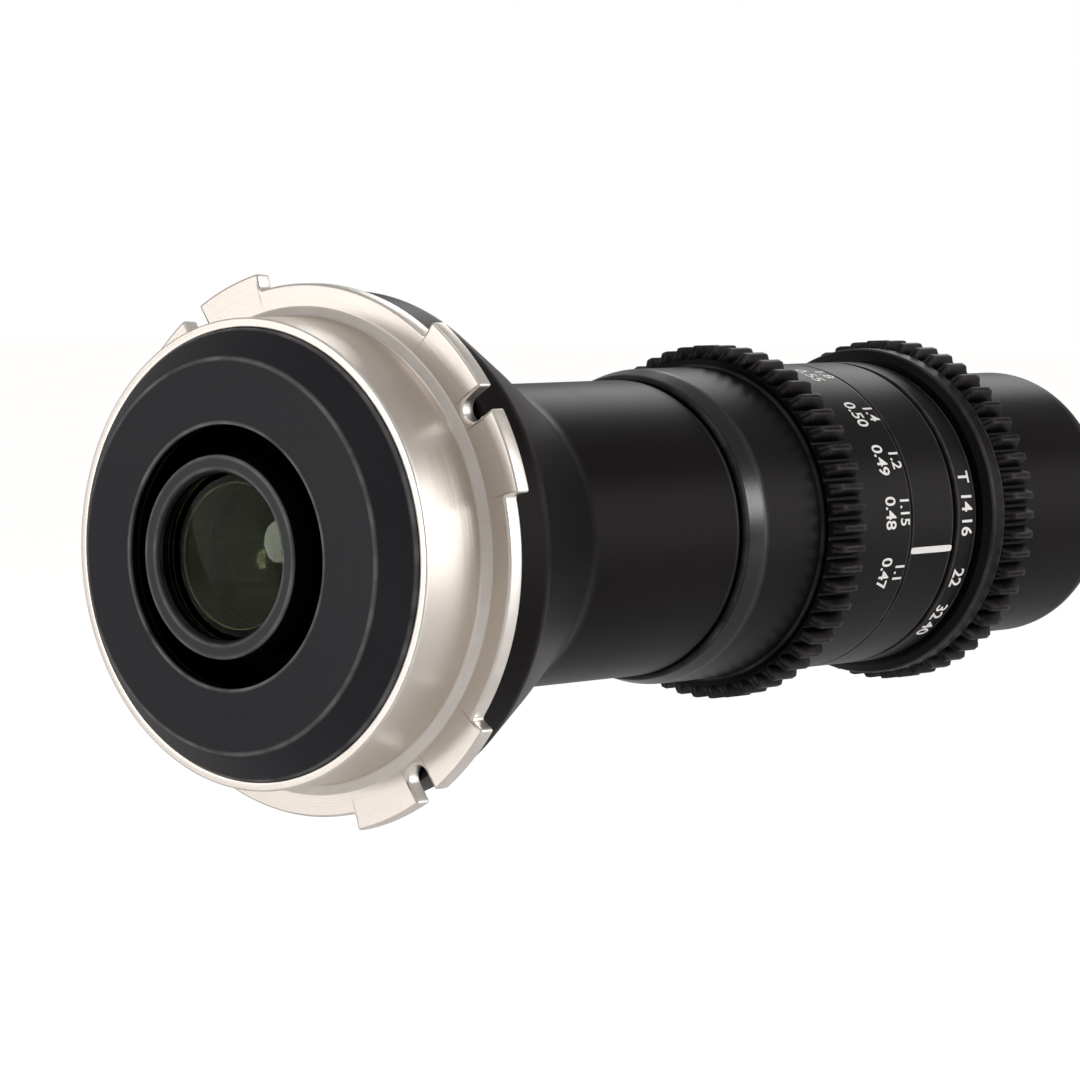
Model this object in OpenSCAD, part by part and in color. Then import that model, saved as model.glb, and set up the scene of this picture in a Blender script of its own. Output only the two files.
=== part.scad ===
// Macro probe lens with a four-lug camera mount.
// X runs along the optical axis from the mount flange to the tip, Z is up, millimetres.
// Outlines of turned pieces are lists of [radius, place along the axis].
// Clock angles run from +Y towards +Z, so a positive turn about X adds to them.

/* [Camera mount] */
// Outside diameter of the mount tube
mount_tube_d = 54; // [52:0.5:55]
// Length of the mount tube behind the flange face
mount_tube_len = 9.8; // [8:0.1:11]
// Wall of the mount tube
mount_tube_wall = 1.1; // [0.8:0.1:1.5]
// Diameter of the flange between the lugs
flange_d = 61.6; // [60:0.1:62]
// Thickness of the flange and its lugs
flange_t = 2.1; // [1.8:0.1:3]
// Diameter over the lugs
lug_d = 65.6; // [64:0.1:68]
// Angle that each lug spans
lug_span = 40.5; // [34:0.5:46]
// Number of lugs
lug_count = 4; // [3:1:4]
// Width of the notch in the middle of each lug
notch_w = 3; // [2:0.1:4]
// Radius at the floor of each notch
notch_floor_r = 28.8; // [28.2:0.1:29.5]
// Depth of the screw web behind the flange face
web_back = 1.5; // [1:0.1:2.5]
// Radius of the hole in the screw web
web_hole_r = 17.2; // [16.8:0.1:18.5]
// Clock angle of the index line
index_clock = 191; // [180:1:200]
// Thickness of the back-focus shim
shim_t = 0.2; // [0.1:0.05:0.5]
// Number of mount screws
mount_screw_count = 4; // [4:1:6]
// Shank radius of the mount screws
mount_screw_r = 1; // [0.8:0.1:1.2]
// Length of the mount screws below their heads
mount_screw_len = 7; // [5:0.5:9]

/* [Rear optics] */
// Distance that the rear baffle stands out behind the mount tube
baffle_out = 3.5; // [2:0.1:5]
// Width of the sloped rim of the rear baffle
baffle_bevel = 3.35; // [1.5:0.05:6]
// Radius of the hole in the rear baffle
baffle_hole_r = 15; // [14:0.1:16.5]
// Outside radius of the rear lens cell
cell_r = 11.6; // [11:0.1:12.5]
// Wall of the rear lens cell
cell_wall = 1.5; // [1.2:0.1:1.8]
// Distance that the rear lens cell stands out behind the baffle
cell_out = 1; // [0.4:0.1:2]
// Length of the rear lens cell
cell_len = 34; // [28:1:38]
// Thickness of the rear lens at its rim
rear_lens_t = 2.6; // [2:0.1:4]
// Thickness of the second rear lens at its rim
rear_inner_lens_t = 4.5; // [3:0.1:6]

/* [Rear housing] */
// Radius of the black base disc
base_r = 29.9; // [29:0.1:30.4]
// Thickness of the base disc
base_t = 5.6; // [4:0.1:8]
// Place where the cone meets the rear barrel
cone_end = 29.7; // [27:0.1:33]
// Height of the rear barrel over the inner barrel
rear_barrel_step = 0.8; // [0.6:0.1:1.4]
// Place where the rear barrel ends
rear_barrel_end = 57.4; // [55:0.1:59]
// Depth of the dark pocket around the rear lens cell
pocket_depth = 9; // [6:0.5:12]
// Wall between the pocket and the rear lens cell
hub_wall = 1.4; // [1:0.1:1.8]

/* [Barrels] */
// Outside radius of the inner barrel under the rings
barrel_r = 17.6; // [17.4:0.1:17.8]
// Wall of the inner barrel
barrel_wall = 1.9; // [1.6:0.1:2.1]
// Drop from the inner barrel to its spigot in the rear housing
spigot_drop = 1.65; // [1.5:0.05:1.8]
// Wall of the spigot
spigot_wall = 1.75; // [1.4:0.05:2]
// Length of the spigot in the rear housing
spigot_len = 33; // [20:1:36]
// Place where the front barrel's shoulder ends
shoulder_x = 139; // [136:0.5:146]
// Rounding of the shoulder
shoulder_round = 1.2; // [0.6:0.1:2]
// Length of the cone in front of the shoulder
nose_len = 8; // [5:0.5:12]
// Height of the collar that keeps the aperture ring in place
keeper_step = 1; // [0.6:0.1:1.4]

/* [Rings] */
// Wall of the rings
ring_wall = 2.05; // [1.7:0.05:2.4]
// Width of the dark groove behind the focus ring
rear_groove = 0.9; // [0.6:0.1:1.4]
// Length of the sloped band at the back of the focus ring
band_len = 3.1; // [2:0.1:5]
// Drop of the sloped band
band_drop = 0.8; // [0.4:0.1:1]
// Place of the focus gear's rear face
focus_gear_x = 72.9; // [70:0.1:75]
// Width of the focus gear at its roots
focus_gear_w = 6.7; // [5:0.1:9]
// Place where the focus ring ends
focus_ring_end = 91.7; // [88:0.1:94]
// Place where the index collar ends
collar_end = 101; // [98:0.1:103]
// Width of the dark groove between collar and aperture ring
front_groove = 0.9; // [0.6:0.1:1.4]
// Width of the T-stop band of the aperture ring
stop_band_w = 4.1; // [3:0.1:6]
// Width of the groove in front of the T-stop band
stop_groove_w = 0.6; // [0.3:0.1:1]
// Depth of the groove in front of the T-stop band
stop_groove_depth = 0.8; // [0.4:0.1:1.2]
// Height of the smooth land behind the aperture gear over the ring
land_step = 1.7; // [1.1:0.1:2.1]
// Width of the smooth land behind the aperture gear
land_w = 3.4; // [2:0.1:5]
// Width of the aperture gear at its roots
aperture_gear_w = 6.4; // [5:0.1:8]
// Height of the gear roots over the ring
root_step = 0.9; // [0.5:0.1:1.3]
// Gear module, the pitch diameter divided by the number of teeth
gear_module = 0.8; // [0.78:0.01:0.82]
// Running clearance between rings and barrels, on the radius
run = 0.05; // [0.02:0.01:0.08]
// Fitting clearance between fixed pieces, on the radius
fit = 0.05; // [0.02:0.01:0.08]
// Free gap between pieces that must not touch
air = 0.3; // [0.2:0.05:0.4]

/* [Focus] */
// Turn of the focus ring towards its near stop
focus_near = 20; // [10:5:30]
// Turn of the focus ring towards its far stop
focus_far = 180; // [120:5:200]
// Travel of the focus group for each degree of the ring
focus_lead = 0.045; // [0.04:0.001:0.05]
// Place of the focus pins at rest
focus_pin_x = 79; // [77:0.5:80]
// Radius of the focus pins
focus_pin_r = 1; // [0.8:0.1:1.2]
// Number of focus pins
focus_pin_count = 3; // [2:1:3]
// Clearance of the pins in their slots
slot_gap = 0.1; // [0.05:0.01:0.15]
// Wall of the cam sleeve
cam_wall = 1.9; // [1.5:0.1:2.1]
// Wall of the guide tube
guide_wall = 1.8; // [1.4:0.1:2]
// Thickness of the guide tube's flange
guide_flange_t = 3; // [2:0.5:4]
// Length of the focus carriage
carriage_len = 22; // [18:1:24]
// Wall of the focus carriage
carriage_wall = 1.6; // [1.2:0.1:2]
// Place where the cam sleeve ends
cam_end = 97; // [94:0.5:98]
// Thickness of the retaining ring of the cam sleeve
sleeve_retainer_t = 2; // [1.5:0.1:3]
// Place of the focus key screw
focus_key_x = 66; // [64.5:0.5:67.5]
// Shank radius of the key screw
key_r = 0.8; // [0.6:0.1:1]

/* [Iris] */
// Number of iris blades
blade_count = 7; // [7:1:7]
// Radius of the fully open iris
iris_open_r = 4; // [3.6:0.1:4.4]
// Width of an iris blade
blade_w = 3.6; // [3:0.1:3.8]
// Thickness of an iris blade
blade_t = 0.15; // [0.1:0.01:0.2]
// Step from one blade to the next along the axis
blade_pitch = 0.3; // [0.25:0.01:0.35]
// Distance from the barrel's bore to the circle of the blade pivots
pivot_inset = 2.5; // [2.3:0.1:2.9]
// Radius of the blade pins
blade_pin_r = 0.5; // [0.4:0.05:0.55]
// Distance from the pivots' circle to the drive pins' circle when the iris is open
drive_inset = 2.2; // [2:0.1:2.4]
// Turn of the aperture ring from rest to fully open
iris_opening = 21.5; // [15:0.5:25]
// Turn of the aperture ring from rest to fully closed
iris_closing = 36; // [28:0.5:38]
// Turn of a blade for each degree of the aperture ring
blade_ratio = 0.1965; // [0.18:0.0005:0.2]
// Thickness of the iris base plate
iris_plate_t = 1.2; // [1:0.1:1.6]
// Thickness of the iris cam ring
cam_ring_t = 1.2; // [1:0.1:1.5]
// Width of the cam ring's rim along the axis
cam_rim_w = 3; // [2.4:0.1:3.4]
// Width of the base plate's margin round the open iris
iris_margin = 1.5; // [1:0.1:2]

/* [Probe] */
// Outside diameter of the probe tube
probe_d = 20; // [18:0.5:22]
// Wall of the probe tube
probe_wall = 1.3; // [1:0.1:1.6]
// Place of the tip's front face
tip_x = 393; // [300:1:450]
// Length of the lit tip
head_len = 14; // [12:0.5:20]
// Outside radius of the relay tube
relay_r = 7.4; // [6.8:0.1:7.5]
// Wall of the relay tube
relay_wall = 1; // [0.8:0.1:1.2]
// Number of relay lenses in the probe tube
relay_lens_count = 3; // [3:1:3]
// Thickness of a relay lens
relay_lens_t = 6; // [4:0.5:9]
// Outside radius of the front lens cell
front_cell_r = 5.1; // [4.8:0.1:5.4]
// Radius of the front lens
front_lens_r = 4.1; // [3.6:0.1:4.3]
// Number of light-emitting diodes
led_count = 8; // [6:1:12]
// Side of one light-emitting diode
led_side = 1.6; // [1.2:0.1:2]
// Radius of each wire of the light
wire_r = 0.45; // [0.3:0.05:0.5]

/* [Power socket] */
// Width of the socket's opening
socket_w = 7; // [6.5:0.1:7.5]
// Height of the socket's opening
socket_h = 1.9; // [1.6:0.1:2.2]
// Wall between the socket and the tube's bore
socket_floor = 1.55; // [1:0.05:2]
// Thickness of the socket's metal shell
socket_shell = 0.3; // [0.2:0.05:0.4]
// Place of the socket along the axis
socket_x = 134.5; // [133.5:0.5:135]

/* [Hidden] */
$fn = 96;

// Overrun of every cutting shape past the face that it leaves
cut = 1;
// Small chamfer on turned edges
edge = 0.25;
// Play at the end of a seated piece
end_gap = 0.1;
// Chamfer on the mount's edges
mount_edge = 0.4;
// Height of the bevel where the mount tube meets the flange
tube_bevel = 0.6;
// Width of that bevel
tube_bevel_w = 1.2;

mount_tube_r = mount_tube_d / 2;
mount_bore_r = mount_tube_r - mount_tube_wall;
flange_r = flange_d / 2;
lug_r = lug_d / 2;
half_turn = 180;
full_turn = 360;
lug_clock = index_clock + full_turn / lug_count / 2;
far_clock = index_clock - half_turn;
mount_screw_ring_r = (web_hole_r + mount_bore_r) / 2;
mount_screw_head_r = mount_screw_r * 1.9;
mount_screw_head_t = mount_screw_r * 0.9;
screw_head_sink = mount_screw_head_t + edge;
housing_x = flange_t + shim_t;
shim_r = notch_floor_r - edge * 2;

baffle_r = mount_bore_r - fit;
baffle_face_r = baffle_r - baffle_bevel;
baffle_wall = 1.7;
baffle_dish = 0.5;
baffle_floor = 1;
baffle_back_x = -mount_tube_len - baffle_out;
baffle_slope_x = -mount_tube_len - edge;

cell_x = baffle_back_x - baffle_dish - cell_out;
cell_bore_r = cell_r - cell_wall;
cell_lip = 0.6;
cell_rim_r = cell_bore_r - cell_lip;
cell_rim_t = 1.9;
rear_glass_r = cell_bore_r - fit;
rear_lens_x = cell_x + cell_rim_t;
rear_lens_bulge = 0.7;
rear_spacer_w = 2;
cell_ledge = 1;
lens_ring_w = 1.1;
lens_ring_t = 1.2;
rear_spacer_len = 4.6;
rear_inner_lens_x = rear_lens_x + rear_lens_t + rear_spacer_len;
rear_seat_x = rear_inner_lens_x + rear_inner_lens_t;

rear_barrel_r = barrel_r + rear_barrel_step;
spigot_r = barrel_r - spigot_drop;
hub_r = cell_r + hub_wall + fit;
pocket_r = web_hole_r - edge;
pocket_x = housing_x + pocket_depth;
housing_bore_r = spigot_r + fit;
spigot_x = rear_barrel_end - spigot_len;
barrel_bore_r = barrel_r - barrel_wall;
spigot_bore_r = spigot_r - spigot_wall;

focus_ring_x = rear_barrel_end + rear_groove;
washer_h = 0.5;
collar_x = focus_ring_end + air;
aperture_ring_x = collar_end + front_groove;
stop_groove_x = aperture_ring_x + stop_band_w;
land_x = stop_groove_x + stop_groove_w;
aperture_gear_x = land_x + land_w;
aperture_ring_end = aperture_gear_x + aperture_gear_w;
front_x = aperture_ring_end + air;
keeper_w = 1.4;
keeper_end = front_x + keeper_w;
ring_bore_r = barrel_r + run;
ring_r = ring_bore_r + ring_wall;
land_r = ring_r + land_step;
keeper_r = barrel_r + keeper_step;
front_r = barrel_r;
gear_seat_r = (ring_r + ring_bore_r) / 2;

tooth_addendum = gear_module;
tooth_dedendum = gear_module * 1.25;
gear_teeth = round(2 * (ring_r + root_step + tooth_dedendum) / gear_module);
pitch_r = gear_teeth * gear_module / 2;
tip_r = pitch_r + tooth_addendum;
root_r = pitch_r - tooth_dedendum;
tooth_angle = full_turn / gear_teeth;
pressure_angle = 20;
radian = half_turn / PI;
tip_half = tooth_angle / 4 - tooth_addendum * tan(pressure_angle) / tip_r * radian;
root_half = tooth_angle / 4 + tooth_dedendum * tan(pressure_angle) / root_r * radian;
tooth_slope = 1.2;

cam_r = barrel_bore_r - run * 2;
cam_bore_r = cam_r - cam_wall;
guide_r = cam_bore_r - run * 2;
guide_bore_r = guide_r - guide_wall;
carriage_r = guide_bore_r - run;
carriage_bore_r = carriage_r - carriage_wall;
guide_seat = 1.6;
guide_x = rear_barrel_end + guide_seat;
cam_x = guide_x + guide_flange_t + air;
retainer_x = cam_end + air;
retainer_end = retainer_x + sleeve_retainer_t;
carriage_x = focus_pin_x - carriage_len / 2;
focus_seat_half = 3;
carriage_seat_x = focus_pin_x - focus_seat_half;
carriage_seat_end = focus_pin_x + focus_seat_half;
focus_glass_t = 5;
near_travel = focus_lead * focus_near;
far_travel = focus_lead * focus_far;
pin_slot_half = focus_pin_r + slot_gap;
pin_tip_r = cam_r - air;
pin_root_r = carriage_bore_r + air;
key_clock = far_clock;
key_head_r = key_r * 1.8;
key_head_t = 0.8;
key_slot_half = key_r + air;
key_slot_span = key_slot_half / barrel_bore_r * radian;
guide_screw_x = guide_x + guide_flange_t / 2;
helix_rise_angle = atan(focus_lead * radian / ((cam_r + cam_bore_r) / 2));
helix_half_angle = pin_slot_half / sin(helix_rise_angle) / ((cam_r + cam_bore_r) / 2) * radian;
helix_x = focus_pin_x - far_travel - pin_slot_half;
helix_len = near_travel + far_travel + 2 * pin_slot_half;
helix_steps = 42;
wedge_steps = 6;
// Steps of a lens dome
cap_steps = 10;

iris_skirt_len = 3.2;
iris_x = retainer_end + iris_skirt_len;
blade_x = iris_x + iris_plate_t + blade_pitch;
cam_ring_x = blade_x + blade_count * blade_pitch + blade_pitch / 2;
cam_rim_x = cam_ring_x;
cam_ring_r = barrel_bore_r - run * 2;
cam_rim_wall = 1.7;
cam_rim_bore_r = cam_ring_r - cam_rim_wall;
cam_ring_lip = 1;
iris_retainer_x = cam_rim_x + cam_rim_w + air;
iris_retainer_t = 1.6;
blade_step = full_turn / blade_count;
pivot_ring_r = barrel_bore_r - pivot_inset;
drive_ring_r = pivot_ring_r - drive_inset;
iris_hole_r = iris_open_r + iris_margin;
drive_clock = -1.5 * blade_step;
open_drive = [drive_ring_r * cos(drive_clock), drive_ring_r * sin(drive_clock)];
pivot_at = [pivot_ring_r, 0];
blade_rest = -blade_ratio * iris_opening;
band_from = -108;
blade_arm_half = 0.7;
drive_slot_half = blade_pin_r + slot_gap;
slot_margin = (drive_slot_half + edge) / drive_ring_r * radian;
slot_steps = 14;
cam_ring_bore_r = norm(drive_pin_at(-iris_closing - slot_margin)) - drive_slot_half - cam_ring_lip;
screw_x = cam_rim_x + cam_rim_w / 2;
drive_screw_clock = far_clock;
drive_head_r = land_r - edge;

front_spigot_x = iris_retainer_x + iris_retainer_t + end_gap;
front_spigot_r = barrel_bore_r - fit;
front_spigot_wall = 1.65;
front_bore_r = front_spigot_r - front_spigot_wall;
relay_cell_r = front_bore_r - fit;
relay_cell_len = 11;
relay_cell_sink = 0.5;
relay_cell_x = front_spigot_x + relay_cell_sink;
relay_cell_wall = 2.2;
relay_seat_t = 2;
relay_glass_x = relay_cell_x + relay_seat_t;
relay_glass_t = 5;
lock_ring_x = relay_cell_x + relay_cell_len + air;
lock_ring_t = 2;
probe_r = probe_d / 2;
probe_bore_r = probe_r - probe_wall;
tube_flange_r = front_bore_r - fit;
tube_flange_t = 2.4;
tube_x = lock_ring_x + lock_ring_t + fit;
nose_bore_x = tube_x + tube_flange_t + fit;
nose_bore_r = probe_r + fit;
nose_end = shoulder_x + nose_len;
nose_face_w = 1.2;
nose_face_r = probe_r + nose_face_w;
seal_depth = 3;
seal_x = nose_end - seal_depth;
seal_r = 0.6;
seal_end = seal_x + 2 * seal_r;
seal_out_r = nose_bore_r + 2 * seal_r;
grub_r = 1;
grub_len = 3;
grub_bite = 0.6;
grub_housing_x = (cone_end + rear_barrel_end) / 2;
grub_collar_x = (collar_x + collar_end) / 2;

head_x = tip_x - head_len;
head_spigot_len = 6;
head_wall = 1;
head_bore_r = probe_r - head_wall;
head_spigot_wall = 0.9;
head_spigot_bore_r = probe_bore_r - fit - head_spigot_wall;
relay_sink = 1;
relay_x = tube_x + relay_sink;
relay_clear = 2;
relay_end = head_x - head_spigot_len - relay_clear;
relay_flange_r = probe_bore_r - fit;
relay_flange_t = 3;
relay_bore_r = relay_r - relay_wall;
relay_glass_r = relay_bore_r - fit;
relay_pitch = (relay_end - relay_x - relay_lens_t) / (relay_lens_count + 1);
relay_stop = 1.2;
front_cell_wall = 0.9;
front_cell_bore_r = front_cell_r - front_cell_wall;
front_cell_x = relay_end - relay_stop + edge;
board_depth = 5.2;
board_x = tip_x - board_depth;
board_t = 1;
led_t = 0.8;
led_ring_r = (front_cell_r + head_bore_r) / 2;
window_t = 1.2;
window_sink = 0.5;
window_x = tip_x - window_t - window_sink;
front_lens_depth = 4.5;
front_lens_x = tip_x - front_lens_depth;
front_lens_sink = 1;
front_lens_bulge = 0.7;
head_shelf_t = 1;
head_shelf_x = board_x - head_shelf_t;
wire_run_r = probe_bore_r - wire_r - end_gap;
wire_gap = 0.2;
wire_pair_gap = 2 * wire_r + end_gap;
wire_slot_half = wire_pair_gap / 2 + wire_r + wire_gap;
wire_bend_r = 1;
socket_sink = 0.6;
socket_out_r = front_r - socket_sink;
socket_in_r = nose_bore_r + socket_floor;
socket_depth = socket_out_r - socket_in_r;
socket_tongue_t = 0.7;
socket_half_h = socket_h / 2 + socket_shell;
socket_half_w = socket_w / 2 + socket_shell;

function polar(r, a) = [r * cos(a), r * sin(a)];
function turned_by(v, a) = [v.x * cos(a) - v.y * sin(a), v.x * sin(a) + v.y * cos(a)];
function gear_outline(root, tip) = [
    for (i = [0 : gear_teeth - 1])
        for (corner = [[root, -root_half], [tip, -tip_half], [tip, tip_half], [root, root_half]])
            polar(corner[0], i * tooth_angle + corner[1])
];
function wedge(r_in, r_out, a0, a1, steps) = concat(
    [for (i = [0 : steps]) polar(r_in, a0 + (a1 - a0) * i / steps)],
    [for (i = [steps : -1 : 0]) polar(r_out, a0 + (a1 - a0) * i / steps)]
);
function drive_pin_at(turn) =
    turned_by(pivot_at + turned_by(open_drive - pivot_at, blade_rest + blade_ratio * turn), -turn);
function slot_turn(i) =
    -iris_closing - slot_margin + (iris_closing + iris_opening + 2 * slot_margin) * i / slot_steps;
function unit(v) = v / norm(v);
function slot_side(i, side) =
    let (ahead = unit(drive_pin_at(slot_turn(i) + 1) - drive_pin_at(slot_turn(i) - 1)))
    drive_pin_at(slot_turn(i)) + side * drive_slot_half * [-ahead.y, ahead.x];

module along_x(x = 0) {
    translate([x, 0, 0]) rotate([90, 0, 90]) children();
}

module turned(points) {
    along_x() rotate_extrude() polygon(points);
}

module ring(r_in, r_out, x0, x1, bevel = 0) {
    turned([[r_in, x0], [r_out - bevel, x0], [r_out, x0 + bevel],
            [r_out, x1 - bevel], [r_out - bevel, x1], [r_in, x1]]);
}

module rod(r, x0, x1) {
    along_x(x0) cylinder(r = r, h = x1 - x0);
}

module spoke(r, from_r, to_r, x, clock) {
    rotate([clock, 0, 0]) translate([x, from_r, 0]) rotate([-90, 0, 0])
        cylinder(r = r, h = to_r - from_r, $fn = 32);
}

module sector(r_in, r_out, x0, x1, a0, a1) {
    rotate([a0, 0, 0]) along_x(x0) rotate_extrude(angle = a1 - a0)
        translate([r_in, 0]) square([r_out - r_in, x1 - x0]);
}

function cap_points(r, x, bulge, side) =
    let (ball_r = (r * r + bulge * bulge) / (2 * bulge), half = asin(r / ball_r))
    [for (i = [0 : cap_steps])
        [ball_r * sin(half * i / cap_steps), x + side * (bulge - ball_r * (1 - cos(half * i / cap_steps)))]];

module domed(r, cap_r, rim_x, flat_x, bulge) {
    turned(concat(cap_points(cap_r, rim_x, bulge, sign(rim_x - flat_x)),
                  [[r, rim_x], [r, flat_x], [0, flat_x]]));
}

module lug_shape() {
    intersection() {
        circle(r = lug_r);
        polygon([[0, 0], for (i = [-3 : 3]) polar(lug_r * 1.2, lug_span / 2 * i / 3)]);
    }
}

module notch_shape() {
    translate([notch_floor_r + notch_w / 2, 0]) circle(r = notch_w / 2, $fn = 32);
    translate([notch_floor_r + notch_w / 2, -notch_w / 2]) square([lug_r, notch_w]);
}

module bayonet_mount() color([0.83, 0.79, 0.74]) {
    difference() {
        union() {
            turned([[mount_bore_r, -mount_tube_len], [mount_tube_r - mount_edge / 2, -mount_tube_len],
                    [mount_tube_r, -mount_tube_len + mount_edge / 2], [mount_tube_r, -tube_bevel],
                    [mount_tube_r + tube_bevel_w, 0], [flange_r - mount_edge, 0], [flange_r, mount_edge],
                    [flange_r, flange_t - edge], [flange_r - edge, flange_t], [web_hole_r, flange_t],
                    [web_hole_r, -web_back], [mount_bore_r, -web_back]]);
            difference() {
                intersection() {
                    along_x() linear_extrude(flange_t)
                        for (i = [0 : lug_count - 1])
                            rotate(lug_clock + i * full_turn / lug_count) lug_shape();
                    turned([[0, 0], [lug_r - mount_edge, 0], [lug_r, mount_edge],
                            [lug_r, flange_t - edge], [lug_r - edge, flange_t], [0, flange_t]]);
                }
                rod(flange_r - cut, -cut, flange_t + cut);
            }
        }
        along_x(-cut) linear_extrude(flange_t + 2 * cut)
            for (i = [0 : lug_count - 1])
                rotate(lug_clock + i * full_turn / lug_count) notch_shape();
        mount_screw_holes(mount_screw_r + fit, -web_back - cut, flange_t + cut);
        mount_screw_holes(mount_screw_head_r + fit, -web_back - cut, -web_back + screw_head_sink);
    }
}

module mount_screw_holes(r, x0, x1) {
    for (i = [0 : mount_screw_count - 1])
        rotate([index_clock + i * full_turn / mount_screw_count, 0, 0])
            translate([0, mount_screw_ring_r, 0]) along_x(x0) cylinder(r = r, h = x1 - x0, $fn = 32);
}

module mount_shim() color([0.8, 0.66, 0.36]) {
    difference() {
        ring(web_hole_r, shim_r, flange_t, housing_x);
        mount_screw_holes(mount_screw_r + fit, flange_t - cut, housing_x + cut);
    }
}

module mount_screws() color([0.7, 0.7, 0.72]) {
    head_x = -web_back + screw_head_sink - mount_screw_head_t;
    for (i = [0 : mount_screw_count - 1])
        rotate([index_clock + i * full_turn / mount_screw_count, 0, 0])
            translate([0, mount_screw_ring_r, 0]) difference() {
                union() {
                    along_x(head_x) cylinder(r = mount_screw_head_r, h = mount_screw_head_t, $fn = 32);
                    along_x(head_x)
                        cylinder(r = mount_screw_r, h = mount_screw_head_t + mount_screw_len, $fn = 32);
                }
                along_x(head_x - cut)
                    cylinder(r = mount_screw_r * 0.75, h = cut + mount_screw_head_t * 0.7, $fn = 6);
            }
}

module rear_baffle() color([0.16, 0.16, 0.17]) {
    inner_r = baffle_r - baffle_wall;
    floor_x = -web_back - baffle_floor;
    turned([[baffle_r, -web_back], [baffle_r, baffle_slope_x], [baffle_face_r, baffle_back_x],
            [baffle_hole_r, baffle_back_x - baffle_dish],
            [baffle_hole_r, baffle_back_x - baffle_dish + baffle_wall],
            [baffle_face_r - edge, baffle_back_x + baffle_wall],
            [inner_r, baffle_slope_x + baffle_wall / 2], [inner_r, floor_x], [cell_r + fit, floor_x],
            [cell_r + fit, -web_back]]);
}

module rear_lens_cell() color([0.2, 0.2, 0.21]) {
    turned([[cell_rim_r, cell_x + edge], [cell_rim_r + edge, cell_x], [cell_r - edge, cell_x],
            [cell_r, cell_x + edge], [cell_r, cell_x + cell_len],
            [cell_bore_r - cell_ledge, cell_x + cell_len], [cell_bore_r - cell_ledge, rear_seat_x],
            [cell_bore_r, rear_seat_x], [cell_bore_r, cell_x + cell_rim_t],
            [cell_rim_r, cell_x + cell_rim_t]]);
}

module rear_lens_ring() color([0.12, 0.12, 0.12]) {
    ring(rear_glass_r - rear_spacer_w, rear_glass_r, rear_lens_x + rear_lens_t, rear_inner_lens_x);
}

module rear_lens() color([0.3, 0.36, 0.3, 0.6]) {
    domed(rear_glass_r, cell_rim_r - fit, rear_lens_x, rear_lens_x + rear_lens_t, rear_lens_bulge);
}

module rear_inner_lens() color([0.3, 0.36, 0.3, 0.6]) {
    rod(rear_glass_r, rear_inner_lens_x, rear_inner_lens_x + rear_inner_lens_t);
}

module rear_housing() color([0.14, 0.14, 0.15]) {
    difference() {
        turned([[cell_r + fit, housing_x], [base_r - edge, housing_x], [base_r, housing_x + edge],
                [base_r, housing_x + base_t - edge], [base_r - edge, housing_x + base_t],
                [rear_barrel_r, cone_end], [rear_barrel_r, rear_barrel_end - edge],
                [rear_barrel_r - edge, rear_barrel_end], [housing_bore_r, rear_barrel_end],
                [housing_bore_r, spigot_x], [cell_r + fit, spigot_x]]);
        ring(hub_r, pocket_r, housing_x - cut, pocket_x);
        mount_screw_holes(mount_screw_r + fit, housing_x - cut, housing_x + mount_screw_len);
        spoke(grub_r + fit, housing_bore_r - cut, rear_barrel_r + cut, grub_housing_x, far_clock);
    }
}

module main_barrel() color([0.24, 0.24, 0.25]) {
    difference() {
        turned([[spigot_bore_r, spigot_x + end_gap], [spigot_r, spigot_x + end_gap],
                [spigot_r, rear_barrel_end],
                [barrel_r, rear_barrel_end], [barrel_r, front_x], [barrel_bore_r, front_x],
                [barrel_bore_r, guide_x], [spigot_bore_r, guide_x]]);
        sector(barrel_bore_r - cut, barrel_r + cut, focus_key_x - key_slot_half, focus_key_x + key_slot_half,
               key_clock - focus_near - key_slot_span, key_clock + focus_far + key_slot_span);
        sector(barrel_bore_r - cut, barrel_r + cut, screw_x - key_slot_half, screw_x + key_slot_half,
               drive_screw_clock - iris_closing - key_slot_span,
               drive_screw_clock + iris_opening + key_slot_span);
        spoke(grub_r + fit, spigot_r - grub_bite, spigot_r + cut, grub_housing_x, far_clock);
        spoke(grub_r + fit, barrel_r - grub_bite, barrel_r + cut, grub_collar_x, far_clock);
        for (i = [0 : focus_pin_count - 1])
            spoke(key_r + fit, barrel_bore_r - cut, barrel_r + cut, guide_screw_x, guide_screw_clock(i));
    }
}

function guide_screw_clock(i) = index_clock + i * full_turn / focus_pin_count;

module grub_screw(tip_r, x, clock) {
    difference() {
        spoke(grub_r, tip_r, tip_r + grub_len - grub_bite, x, clock);
        rotate([clock, 0, 0]) translate([x, tip_r + grub_len - grub_bite * 2, 0])
            rotate([-90, 0, 0]) cylinder(r = grub_r * 0.55, h = grub_len, $fn = 6);
    }
}

module grub_screws() color([0.1, 0.1, 0.1]) {
    grub_screw(spigot_r - grub_bite, grub_housing_x, far_clock);
    grub_screw(barrel_r - grub_bite, grub_collar_x, far_clock);
}

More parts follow.
